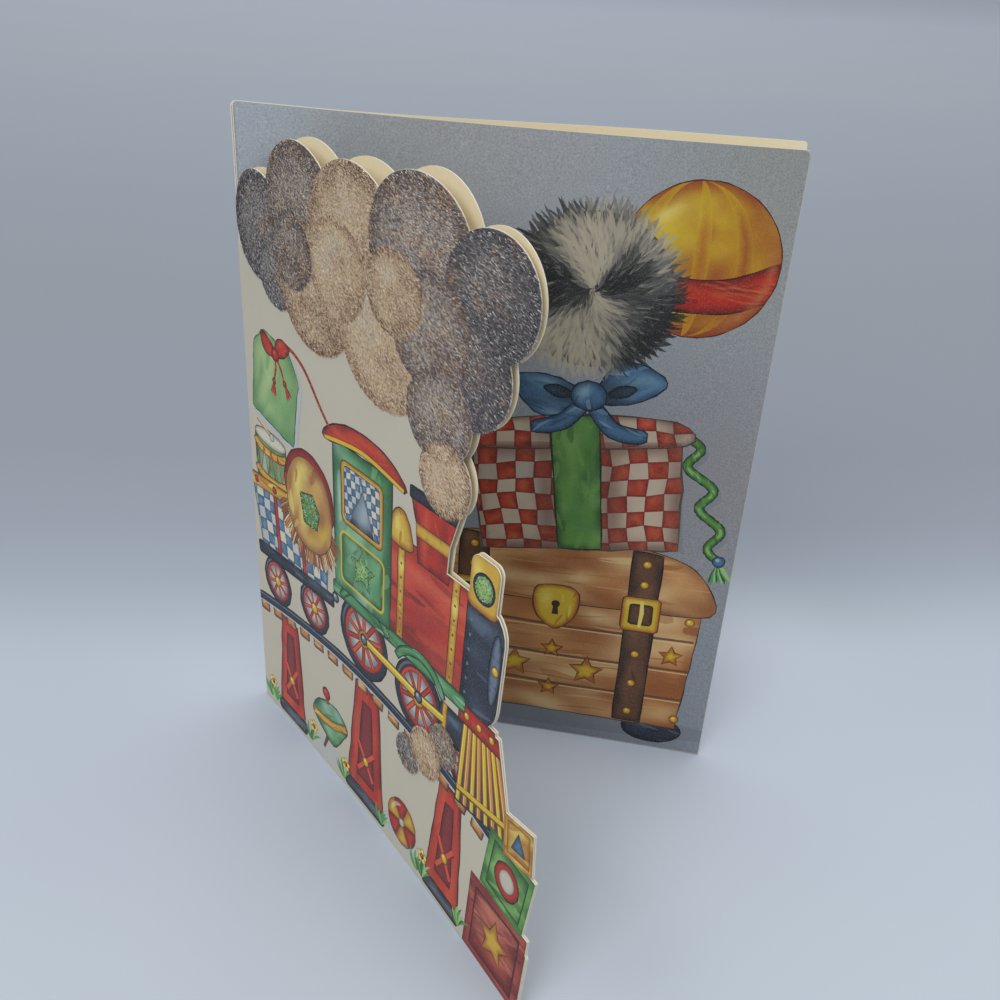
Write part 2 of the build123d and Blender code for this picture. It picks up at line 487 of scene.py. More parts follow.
STOCK, EDGE = (190, 182, 164), (216, 210, 194)
card_face = finish("card_face", stock_look(STOCK, 0.07, 0.00003), Specular_IOR_Level=0.35)
# The faces inside the card wear the same stock made paler: painted light where they lie in shade.
card_inside_painted_light = finish("card_inside_painted_light", stock_look((232, 219, 187), 0.08, 0.00004), Specular_IOR_Level=0.25)
cut_edge = finish("cut_edge", stock_look(EDGE, 0.12, 0.00006), Specular_IOR_Level=0.2)
printed_ink = finish("printed_ink", ink_look(0.16, 0.9, 0.1, 0.2, 0.46, 0.00002), Specular_IOR_Level=0.26)
silver_ink = finish("silver_ink", ink_look(0.10, 1.25, 1.0, 0.0, 0.42, 0.00002), Specular_IOR_Level=0.5,
        Metallic=0.25)
flock_bed = finish("flock_bed", bed_look, Roughness=0.95, Specular_IOR_Level=0.1)


def plain(t, where):
    """The same all over."""
    return {}


def thread(name, tone):
    """One flock fibre's look."""
    return finish(name, plain, Base_Color=full(tone), Roughness=0.8, Specular_IOR_Level=0.25)


# The near-white glint fibres are a painted highlight: the sheen of fibres that catch the light.
flock_looks = [thread("flock_ash_dark", (100, 98, 102)), thread("flock_umber", (138, 108, 92)), thread("flock_ash",
        (148, 142, 144)), thread("flock_tan", (196, 162, 132)), thread("flock_silver", (196, 190, 188)),
        thread("flock_sand", (228, 208, 178)), thread("flock_painted_glint", (238, 234, 226))]
glitter_looks = [finish(name, plain, Base_Color=full(tone), Roughness=0.22, Metallic=0.55) for name,
        tone in (("glitter_green", (84, 128, 78)), ("glitter_leaf", (132, 168, 96)), ("glitter_gold", (196, 176, 92)),
        ("glitter_pale", (206, 210, 190)))]


# Inks, from 0 to 255 a channel. A family is a tone, a deeper one for its rim and a lighter one for its marks.

CREAM, PALE, WHITE, GREY = (190, 182, 164), (172, 182, 188), (204, 197, 178), (156, 158, 156)
GREEN, GREEN_DEEP, GREEN_LIT, MINT = (84, 142, 90), (44, 86, 56), (134, 180, 130), (172, 198, 186)
LEAF, LEAF_DEEP, LEAF_LIT = (92, 146, 70), (54, 92, 54), (142, 186, 112)
RED, RED_DEEP, RED_LIT = (176, 50, 38), (112, 34, 34), (202, 82, 56)
YELLOW, YELLOW_DEEP, YELLOW_LIT = (206, 174, 50), (166, 98, 42), (226, 208, 112)
TAN, TAN_DEEP, TAN_LIT = (192, 132, 74), (136, 78, 42), (218, 190, 140)
BROWN, BROWN_DEEP = (98, 66, 48), (58, 42, 36)
NAVY, NAVY_DEEP, NAVY_LIT = (43, 49, 63), (27, 30, 39), (98, 114, 132)
BLUE, BLUE_DEEP, BLUE_LIT = (76, 112, 146), (46, 72, 98), (136, 168, 186)
GOLD = (YELLOW, YELLOW_DEEP, YELLOW_LIT)
SCARLET = (RED, RED_DEEP, RED_LIT)
PAINT = (GREEN, GREEN_DEEP, GREEN_LIT)
IRON = (NAVY, NAVY_DEEP, NAVY_LIT)
TIN = (NAVY_LIT, NAVY_DEEP, PALE)
SKY = (BLUE, BLUE_DEEP, BLUE_LIT)
HIDE = (BROWN, BROWN_DEEP)
IVORY = (CREAM, GREY, WHITE)


# A field of ink. It may be clipped to the field that it lies inside, have a deeper tone at its rim and soft spots,
# and let what is under it show through its cover. Its kind is ink, flock or glitter, or that of what is under it.
Field = namedtuple("Field", "loop tone inside deep rim spots cover kind")


def spotted(colour, at, spots):
    """Tones with soft spots over them. A spot is a place, two radii, a turn, a tone and an amount."""
    for x, y, rx, ry, turn, tone, amount in spots:
        c, s = heading(turn)
        dx, dy = at[..., 0] - x, at[..., 1] - y
        q = ((dx * c + dy * s) / rx) ** 2 + ((dy * c - dx * s) / ry) ** 2
        colour = colour + (np.array(tone) - colour) * (amount * np.exp(-q))[..., None]
    return colour


class Art:
    """The fields of ink on one leaf. Each is laid over those before it."""

    def __init__(self, seed):
        self.fields, self.glazes = [], []
        self.dice = random.Random(seed)

    def lay(self, loop, tone, inside=None, deep=None, rim=1.5, spots=(), cover=1.0, kind="ink"):
        """Adds a field and gives its number."""
        self.fields.append(Field(loop, tone, inside, deep, rim, spots, cover, kind))
        return len(self.fields) - 1

    def hand(self, loop, by=0.12):
        """A loop with a slight tremble of the hand."""
        return grown(loop, [self.dice.gauss(0, by) for _ in loop])

    def shape(self, loop, tones, line=0.35, inside=None, rim=1.6, spots=(), kind="ink", dabs=None):
        """A painted shape: a thin dark line round it, its tone, deeper towards the edge, and its brush marks."""
        tone, deep = tones[:2]
        if line:
            dark = tuple(c * 0.55 for c in deep)
            width = [line * self.dice.uniform(0.55, 1.35) for _ in loop]
            self.lay(grown(loop, width), dark, inside, kind=kind)
        made = self.lay(loop, tone, inside, deep, rim, spots, 1.0, kind)
        if dabs:
            self.dabs(made, *dabs)
        return made

    def dabs(self, inside, count, size, turn, tones, cover=0.6, bow=0.1, swing=12, soft_share=0.7):
        """Brush marks over a field, leaning one way or, with a centre to go round, about it.

        Broad marks are soft patches or blots of ink, and narrow ones are pointed strokes."""
        loop = self.fields[inside].loop
        low, high = np.min(loop, 0), np.max(loop, 0)
        made, soft = 0, []
        for _ in range(count * 6):
            if made == count:
                break
            x, y = self.dice.uniform(low[0], high[0]), self.dice.uniform(low[1], high[1])
            if not inside_loop(np.array([[x, y]]), loop)[0]:
                continue
            lean = turn
            if isinstance(turn, tuple):
                lean = math.degrees(math.atan2(y - turn[1], x - turn[0])) + turn[2]
            lean += self.dice.gauss(0, swing)
            long = size[0] * self.dice.uniform(0.55, 1.4)
            wide = size[1] * self.dice.uniform(0.6, 1.4)
            tone, share = self.dice.choice(tones), cover * self.dice.uniform(0.6, 1.1)
            made += 1
            if wide > 1.0 and self.dice.random() < soft_share:
                soft.append((x, y, long * 0.5, max(wide, 1.3), lean, tone, min(share * 1.3, 1)))
            elif wide > 1.0:
                ripple = self.dice.uniform(0, 6), self.dice.uniform(0, 6)
                self.lay(blot(x, y, long * 0.8, wide, lean, ripple), tone, inside, cover=share, kind=None)
            else:
                mark = lens(x, y, long, wide, lean, self.dice.uniform(-bow, bow))
                self.lay(mark, tone, inside, cover=share, kind=None)
        field = self.fields[inside]
        self.fields[inside] = field._replace(spots=(*field.spots, *soft))

    def glaze(self, over, spots):
        """Thin soft shade over a field and everything painted on it so far."""
        self.glazes.append((len(self.fields), over, spots))

    def stroke(self, path, width, tone, ends=0.3, inside=None, cover=1.0, kind="ink"):
        """A drawn line."""
        return self.lay(band(path, width, ends), tone, inside, cover=cover, kind=kind)

    def stud(self, x, y, r, tones=GOLD):
        """A round nail head with a small light on it."""
        self.shape(disc(x, y, r, count=12), tones, 0.25, rim=r * 0.5)
        self.lay(disc(x - r * 0.25, y + r * 0.3, r * 0.35, count=8), tones[2], kind=None)

    def cord(self, path, width, tones=SCARLET):
        """A twisted cord drawn as slanting twists along a path."""
        self.stroke(path, width * 1.35, tuple(c * 0.7 for c in tones[1]), 0.8)
        length = 0.0
        for a, b in zip(path, path[1:]):
            step = math.hypot(b[0] - a[0], b[1] - a[1])
            turn = math.degrees(math.atan2(b[1] - a[1], b[0] - a[0]))
            while length < step:
                t = length / step
                x, y = a[0] + (b[0] - a[0]) * t, a[1] + (b[1] - a[1]) * t
                self.lay(lens(x, y, width * 1.5, width * 0.62, turn + 42), self.dice.choice((tones[0], tones[0],
                        tones[2])))
                length += width * 0.85
            length -= step

    def tassel(self, x, y, long, turn, tones=SCARLET, count=9, spread=26):
        """Threads that fan out from a knot."""
        for k in range(count):
            lean = turn + spread * (k / (count - 1) - 0.5) * 2
            size = long * self.dice.uniform(0.85, 1.1)
            c, s = heading(lean)
            tone = tones[1] if k % 3 == 0 else tones[0] if k % 3 == 1 else tones[2]
            self.lay(lens(x + c * size / 2, y + s * size / 2, size, long * 0.16, lean), tone)
        self.stud(x, y, long * 0.17, tones)

    def check(self, inside, x0, y0, columns, rows, size, turn, tones, pale, sway=0.5, line=0.14):
        """Woven check: every second square painted, on a net that sways a little."""
        net = {}
        for i in range(columns + 1):
            for j in range(rows + 1):
                x = i * size + sway * math.sin(j * 0.9 + i * 0.25) + self.dice.gauss(0, size * 0.045)
                y = j * size + sway * math.sin(i * 0.8 - j * 0.3) + self.dice.gauss(0, size * 0.045)
                net[i, j] = turned([(x, y)], x0, y0, turn)[0]
        for i in range(columns):
            for j in range(rows):
                loop = [net[i, j], net[i + 1, j], net[i + 1, j + 1], net[i, j + 1]]
                if not inside_loop(np.array(loop), grown(self.fields[inside].loop, size * 0.5)).any():
                    continue
                if (i + j) % 2:
                    cx, cy = np.mean(loop, 0)
                    marks = [(cx + self.dice.gauss(0, size * 0.2), cy + self.dice.gauss(0, size * 0.2), size * 0.4,
                            size * 0.16, turn + self.dice.choice((20, 70, 110)), tones[2] if k else tones[1], 0.7)
                            for k in range(3)]
                    self.lay(grown(loop, line), tones[1], inside, cover=0.85, kind=None)
                    self.lay(grown(loop, -0.03), tones[0], inside, tones[1], size * 0.14, marks,
                            self.dice.uniform(0.8, 1.0), None)
                elif self.dice.random() < 0.3:
                    self.lay(grown(loop, -0.15), self.dice.choice(pale), inside, cover=0.6, kind=None)

    def places(self, parts, step, seed, everywhere):
        """Places on the leaf where a tone can change: all over it or only in its fields, and along the rims."""
        points = grid(0.3, WIDE - 0.3, 0.6, HIGH - 0.6, step, seed)
        points = points[points[:, 0] > max(BEND_COLUMNS) + 0.5]
        leaf = np.zeros(len(points), bool)
        for part in parts:
            leaf |= inside_loop(points, part)
        inked = leaf.copy() if everywhere else np.zeros(len(points), bool)
        for f in self.fields:
            if f.inside is None and not inked.all():
                inked |= inside_loop(points, f.loop)
        found = [points[leaf & inked]]
        for f in self.fields:
            if f.deep is not None:
                inner = np.array(grown(evened(f.loop, 3.0), -f.rim))
                found.append(inner[inside_loop(inner, f.loop) & (edge_distance(inner, f.loop) > f.rim * 0.6)])
        return np.vstack(found)

    def holdings(self, ids, base, ground):
        """The triangles that each field holds, and the kind of each triangle. The first loops are the leaf's own."""
        held, kinds = {}, []
        for t, found in enumerate(ids):
            kind, good = ground, set()
            for f in sorted(k - base for k in found if k >= base):
                if self.fields[f].inside is None or self.fields[f].inside in good:
                    good.add(f)
                    kind = self.fields[f].kind or kind
                    held.setdefault(f, []).append(t)
            kinds.append((kind or "") if min(found) < base else "")
        return held, np.array(kinds)

    def print_on(self, parts, step, seed, wanted, ground=None):
        """Cuts the fields into triangles and mixes their tones. Returns places, triangles, tones and kinds."""
        loops = [evened(loop, 3.0) for loop in parts + [f.loop for f in self.fields]]
        flat, tris, ids = partition(loops, self.places(parts, step, seed, ground is not None), BEND_COLUMNS)
        held, kinds = self.holdings(ids, len(parts), ground)
        corners = flat[tris]
        tones = np.empty((len(tris), 3, 3))
        tones[:] = wanted
        layers = [(f, f, self.fields[f].spots, self.fields[f]) for f in held]
        layers += [(when - 0.5, over, spots, None) for when, over, spots in self.glazes]
        for _, f, spots, field in sorted(layers, key=lambda layer: layer[0]):
            at, colour, cover = corners[held[f]], tones[held[f]], 1.0
            if field:
                cover = min(field.cover, 1.0)
                colour = np.broadcast_to(np.array(field.tone, float), colour.shape)
                if field.deep is not None:
                    t = np.clip(edge_distance(at, field.loop) / field.rim, 0, 1)[..., None]
                    colour = np.array(field.deep) + (colour - field.deep) * (t * t * (3 - 2 * t))
            tones[held[f]] += (spotted(colour, at, spots) - tones[held[f]]) * cover
        return flat, tris, linear(np.clip(tones, 0, 255)), kinds


# The picture on the front leaf: a toy train on its bridge, with flocked steam

BRICK, BRICK_DEEP, BRICK_LIT = (152, 62, 54), (98, 38, 42), (196, 122, 98)
BRASS = ((199, 161, 62), (152, 95, 43), (222, 201, 120))


def rail_height(x):
    """The bridge's slightly arched rail."""
    return 45.5 - 0.0016 * (x - 62) ** 2


def wheel(art, x, r, spokes):
    """A spoked wheel that stands on the rail."""
    y = rail_height(x) + 1.2 + r
    tyre = art.shape(disc(x, y, r, count=34), IRON, 0.4, rim=1.0)
    art.stroke(disc(x, y, r * 0.91, count=14, start=80, end=185), r * 0.07, NAVY_LIT, 0.1, tyre, 0.8, None)
    rim = art.shape(disc(x, y, r * 0.82, count=30), SCARLET, 0.2, rim=0.7)
    art.stroke(disc(x, y, r * 0.76, count=12, start=60, end=200), r * 0.05, RED_LIT, 0.1, rim, 0.8, None)
    art.shape(disc(x, y, r * 0.68, count=28), (CREAM, (120, 128, 136)), 0.15, rim=r * 0.3)
    for k in range(spokes):
        a = 2 * math.pi * k / spokes + 0.3
        c, s = math.cos(a), math.sin(a)
        path = [(x + c * r * t, y + s * r * t) for t in (0.1, 0.4, 0.73)]
        art.stroke(path, r * 0.15, tuple(v * 0.5 for v in RED_DEEP), 0.9)
        art.stroke(path, r * 0.1, RED if k % 2 else RED_LIT, 0.9)
    art.stud(x, y, r * 0.22)
    return x, y


def steam(art):
    """Puffs of flock over the chimney, and a few small ones by the cylinder."""
    smoke = [(14.8, 157, 13.8, 4), (35, 166, 15.5, 1), (57, 163.5, 18, 2), (80, 167.6, 16.5, 1), (101.5, 164, 13.5,
            0), (97, 147, 12.5, 0), (22, 147, 9, 4), (40, 148, 16, 2), (68, 146, 18, 3), (84, 152, 13, 1),
            (50, 156, 12, 3), (88, 134, 11, 1), (30, 155, 9.5, 1), (72, 157, 10, 2), (91.2, 120, 9, 2), (82.5, 36.5,
            5.4, 4), (97.5, 50, 5.8, 1), (90.5, 42.5, 7.0, 2)]
    looks = [((86, 84, 88), (54, 54, 58), (122, 120, 122)), ((132, 124, 122), (88, 80, 80), (172, 166, 160)),
            ((186, 164, 138), (130, 102, 84), (222, 206, 180)), ((206, 188, 160), (156, 118, 92), (232, 222, 198)),
            ((122, 121, 125), (84, 84, 89), (156, 155, 158))]
    for x, y, r, look in smoke:
        tone, deep, lit = looks[look]
        loop = disc(x, y, r, count=60)
        ragged = [(px + art.dice.gauss(0, 0.08), py + art.dice.gauss(0, 0.08)) for px, py in loop]
        spots = [(x - r * 0.2, y + r * 0.25, r * 0.6, r * 0.42, 20, lit, 0.85), (x + r * 0.4, y - r * 0.5, r * 0.5,
                r * 0.3, -30, deep, 0.6), (x + r * 0.15, y + r * 0.05, r * 0.3, r * 0.2, 60, (150, 116, 96),
                0.3 if look > 1 else 0.12)]
        puff = art.lay(ragged, tone, None, deep, r * 0.38, spots, 1.0, "flock")
        art.dabs(puff, int(r * 1.4), (6, 1.6), (x, y, 90), [lit, deep, tone, (140, 118, 104)], 0.4, swing=30)


def bridge(art):
    """Three trestles, the sleepers and the rail."""
    for x, y, rx, ry, turn in ((40, 5, 36, 3, 2), (96, 6, 24, 3, -3)):
        art.lay(disc(x, y, rx, ry, turn, 30), PALE, cover=0.55)
    for x, w in ((19, 9), (62, 11.5), (103, 9.5)):
        top = rail_height(x) - 3
        loop = evened([(x - w * 0.5, top), (x - w * 0.85, 3.5), (x + w * 0.85, 3.5), (x + w * 0.5, top)], 5)
        art.shape(art.hand(loop), SCARLET, 0.45, rim=2.2, spots=[(x - w * 0.3, 20, 2.4, 22, 3, RED_LIT, 0.7)],
                dabs=(26, (11, 2.0), 92, [RED_LIT, RED_DEEP, RED, (190, 78, 60)], 0.55))
        hole = [(x - w * 0.2, top - 5), (x - w * 0.4, 10), (x + w * 0.4, 10), (x + w * 0.2, top - 5)]
        art.shape(evened(hole, 5), ((126, 44, 46), (84, 34, 40)), 0.3, rim=1.4)
        for y0, y1 in ((12, 22), (22, 12)):
            art.stroke([(x - w * 0.36, y0), (x, 17), (x + w * 0.36, y1)], 2.2, RED_DEEP, 1)
            art.stroke([(x - w * 0.36, y0 + 0.3), (x, 17.3), (x + w * 0.36, y1 + 0.3)], 1.3, RED_LIT, 1)
        art.stud(x, 17.2, 1.5)
        art.shape(slab(x - w * 0.95, 1.6, x + w * 0.95, 6, 1.2), ((92, 96, 104), NAVY_DEEP), 0.3, dabs=(6, (7, 1.0),
                2, [NAVY_LIT, NAVY_DEEP]))
    for k in range(16):
        x = 3.5 + k * 8
        lean = math.degrees(math.atan(-0.0032 * (x - 62)))
        art.shape(art.hand(turned(slab(-2.5, -4.6, 2.5, -0.6, 0.5), x, rail_height(x), lean), 0.06), (TAN, BROWN),
                0.3, rim=1.2, dabs=(3, (4, 0.8), lean, [TAN_LIT, TAN_DEEP]))
    path = [(x, rail_height(x)) for x in np.linspace(0.25, 125.5, 36)]
    rail = art.shape(band(path, 2.7, 0.9), IRON, 0.3, rim=0.8)
    art.stroke([(x, y + 0.62) for x, y in path], 0.55, NAVY_LIT, 0.9, rail, 0.85, None)
    art.stroke([(x, y - 1.75) for x, y in path], 0.5, PALE, 0.9)


def wagon(art):
    """A checked wagon with a drum on it and a fringed cloth over its end."""
    def on(points):
        return turned([(x - 23, y - 60) for x, y in points], 23, 61.2, 4.5)
    drum = [(4.5, 97)] + disc(13, 84, 8.5, 2.4, 0, 12, 180, 360) + [(21.5, 97)]
    drum = evened(drum, 3)
    art.shape(drum, PAINT, 0.4, rim=2.4, spots=[(9, 90, 1.7, 8, 0, MINT, 0.9), (17, 90, 1.4, 9, 0, GREEN_LIT, 0.6)],
            dabs=(16, (6, 1.1), 88, [GREEN_LIT, MINT, GREEN_DEEP, (70, 120, 84)], 0.6))
    for y0 in (86.4, 95.0):
        art.shape(band(disc(13, y0, 8.5, 2.4, 0, 14, 180, 360), 2.3, 0.9), BRASS, 0.3, rim=0.5, dabs=(6, (4, 0.6), 0,
                [YELLOW_LIT, YELLOW_DEEP]))
    for k in range(5):
        x0 = 5.2 + 3.9 * k
        if k < 4:
            art.cord([(x0, 94 - 0.5 * abs(k - 2)), (x0 + 1.95, 86.5 - 0.9), (x0 + 3.9, 94 - 0.5 * abs(k - 1))], 0.55)
    art.shape(disc(13, 97.3, 8.5, 2.3, 0, 26), (WHITE, (160, 152, 134)), 0.35, rim=1.0)
    art.stroke([(6, 101.5), (14, 98.2)], 1.0, TAN_DEEP, 0.9)
    art.stroke([(6, 101.7), (14, 98.4)], 0.6, TAN_LIT, 0.9)
    art.stud(14.2, 98.4, 1.1, IVORY)
    cloth = curve([(22, 91), (27, 98), (34, 99.5), (41, 96), (44, 88), (43.5, 79), (38, 73), (30, 72), (23.5, 76),
            (21.5, 84)])
    art.shape(curve([(22, 84), (23, 97), (33, 102), (43, 97), (44, 84)]), SCARLET, 0.35, rim=3, dabs=(10, (6, 1.4),
            80, [RED_LIT, RED_DEEP]))
    side = on(evened([(5.2, 60), (41.2, 60), (43.8, 80), (2.8, 80)], 6))
    side = art.shape(side, (WHITE, (150, 158, 160)), 0.4, rim=2.0)
    art.check(side, 1.5, 57.5, 13, 8, 3.7, 4.5, SKY, [PALE, (160, 172, 176)], 0.35)
    for x in (15.5, 29.5):
        art.shape(on(slab(x - 0.9, 60, x + 0.9, 80)), SCARLET, 0.25, rim=0.6, dabs=(3, (5, 0.5), 92, [RED_LIT]))
    art.shape(on(slab(2.5, 56.6, 44.5, 60.4, 0.8)), IRON, 0.35, dabs=(8, (8, 0.8), 5, [NAVY_LIT]))
    art.shape(on(slab(1.4, 79.2, 45, 83, 1.2)), BRASS, 0.35, rim=1, dabs=(16, (7, 0.9), 5, [YELLOW_LIT, YELLOW_DEEP,
            TAN], 0.6))
    for x in (5, 15.5, 29.5, 41.5):
        px, py = on([(x, 81.1)])[0]
        art.stud(px, py, 1.0, SCARLET)
    for k in range(46):
        t = k / 45
        a = math.radians(178 + 184 * t)
        x, y = 32.5 + 11.3 * math.cos(a), 82 + 10.0 * math.sin(a)
        lean = math.degrees(a) * 0.6 + 270 * 0.4 + art.dice.gauss(0, 7)
        size = 6.2 * art.dice.uniform(0.8, 1.15)
        c, s = heading(lean)
        tone = art.dice.choice((TAN, TAN_DEEP, (190, 132, 82), TAN_LIT, (150, 92, 58)))
        art.lay(lens(x + c * size * 0.42, y + s * size * 0.42, size, 1.15, lean), tuple(v * 0.62 for v in TAN_DEEP))
        art.lay(lens(x + c * size * 0.42, y + s * size * 0.42, size * 0.94, 0.72, lean), tone)
    art.shape(cloth, ((200, 164, 96), (148, 100, 62)), 0.35, rim=3.5, spots=[(29, 90, 4, 7, 20, YELLOW_LIT, 0.75),
            (40, 88, 2.6, 6, -10, (166, 112, 68), 0.6), (34, 78, 8, 2.6, 8, (150, 104, 68), 0.55)],
            dabs=(34, (8, 1.9), 74, [YELLOW_LIT, TAN_DEEP, (190, 146, 84), YELLOW, (160, 112, 70)], 0.5, 0.18))
    patch = turned([(-3.6, -4.4), (3, -5.2), (5.2, 0), (2.6, 5), (-3.8, 4.2)], 33, 84.5, 8)
    art.shape(patch, PAINT, 0.45, rim=1.2, kind="glitter")
    art.stud(45.6, 63.4, 1.5, TIN)


def tag(art):
    """A gift tag on a twisted cord with a bow."""
    loop = turned(curve(evened([(-11.4, -12.8), (10.6, -13.4), (11.6, 7), (6.5, 12.8), (-6.2, 13), (-11.5, 7.5)], 4),
            True, 2), 17.5, 115.5, -9)
    art.lay(turned([(px - 17.5, py - 115.5) for px, py in grown(loop, 0.8)], 18.6, 114.2, 0), PALE, cover=0.7)
    art.shape(art.hand(loop, 0.1), ((140, 170, 112), (92, 132, 88)), 0.35, rim=4.5, spots=[(12, 118, 6, 9, 10,
            (184, 200, 144), 0.8), (24, 108, 5, 8, -20, (100, 146, 100), 0.7)], dabs=(40, (10, 1.6), 62,
            [(170, 196, 134), (112, 150, 96), (150, 182, 120), (98, 140, 92)], 0.4, 0.2))
    px, py = turned([(0, 9)], 17.5, 115.5, -9)[0]
    art.stud(px, py, 1.9)
    art.lay(disc(px, py, 0.95, count=12), NAVY_DEEP)
    cord = curve([(px, py), (px + 6, py + 4.2), (px + 14, py + 1.5), (px + 22, py - 7), (46, 112.5)], False, 8)
    art.cord(cord, 0.8)
    for lean in (28, 150):
        c, s = heading(lean)
        loop = curve(lens(px + c * 4.2, py + s * 4.2, 8.6, 4.8, lean, 0.1), True, 3)
        art.shape(loop, SCARLET, 0.3, rim=1.1, dabs=(5, (4, 0.8), lean, [RED_LIT, RED_DEEP]))
    for lean in (-58, -100):
        c, s = heading(lean)
        art.cord([(px, py), (px + c * 4 + 0.6, py + s * 4), (px + c * 8, py + s * 8)], 0.7)
        art.tassel(px + c * 8, py + s * 8, 4.6, lean, SCARLET, 7, 18)
    art.stud(px, py, 1.7, SCARLET)


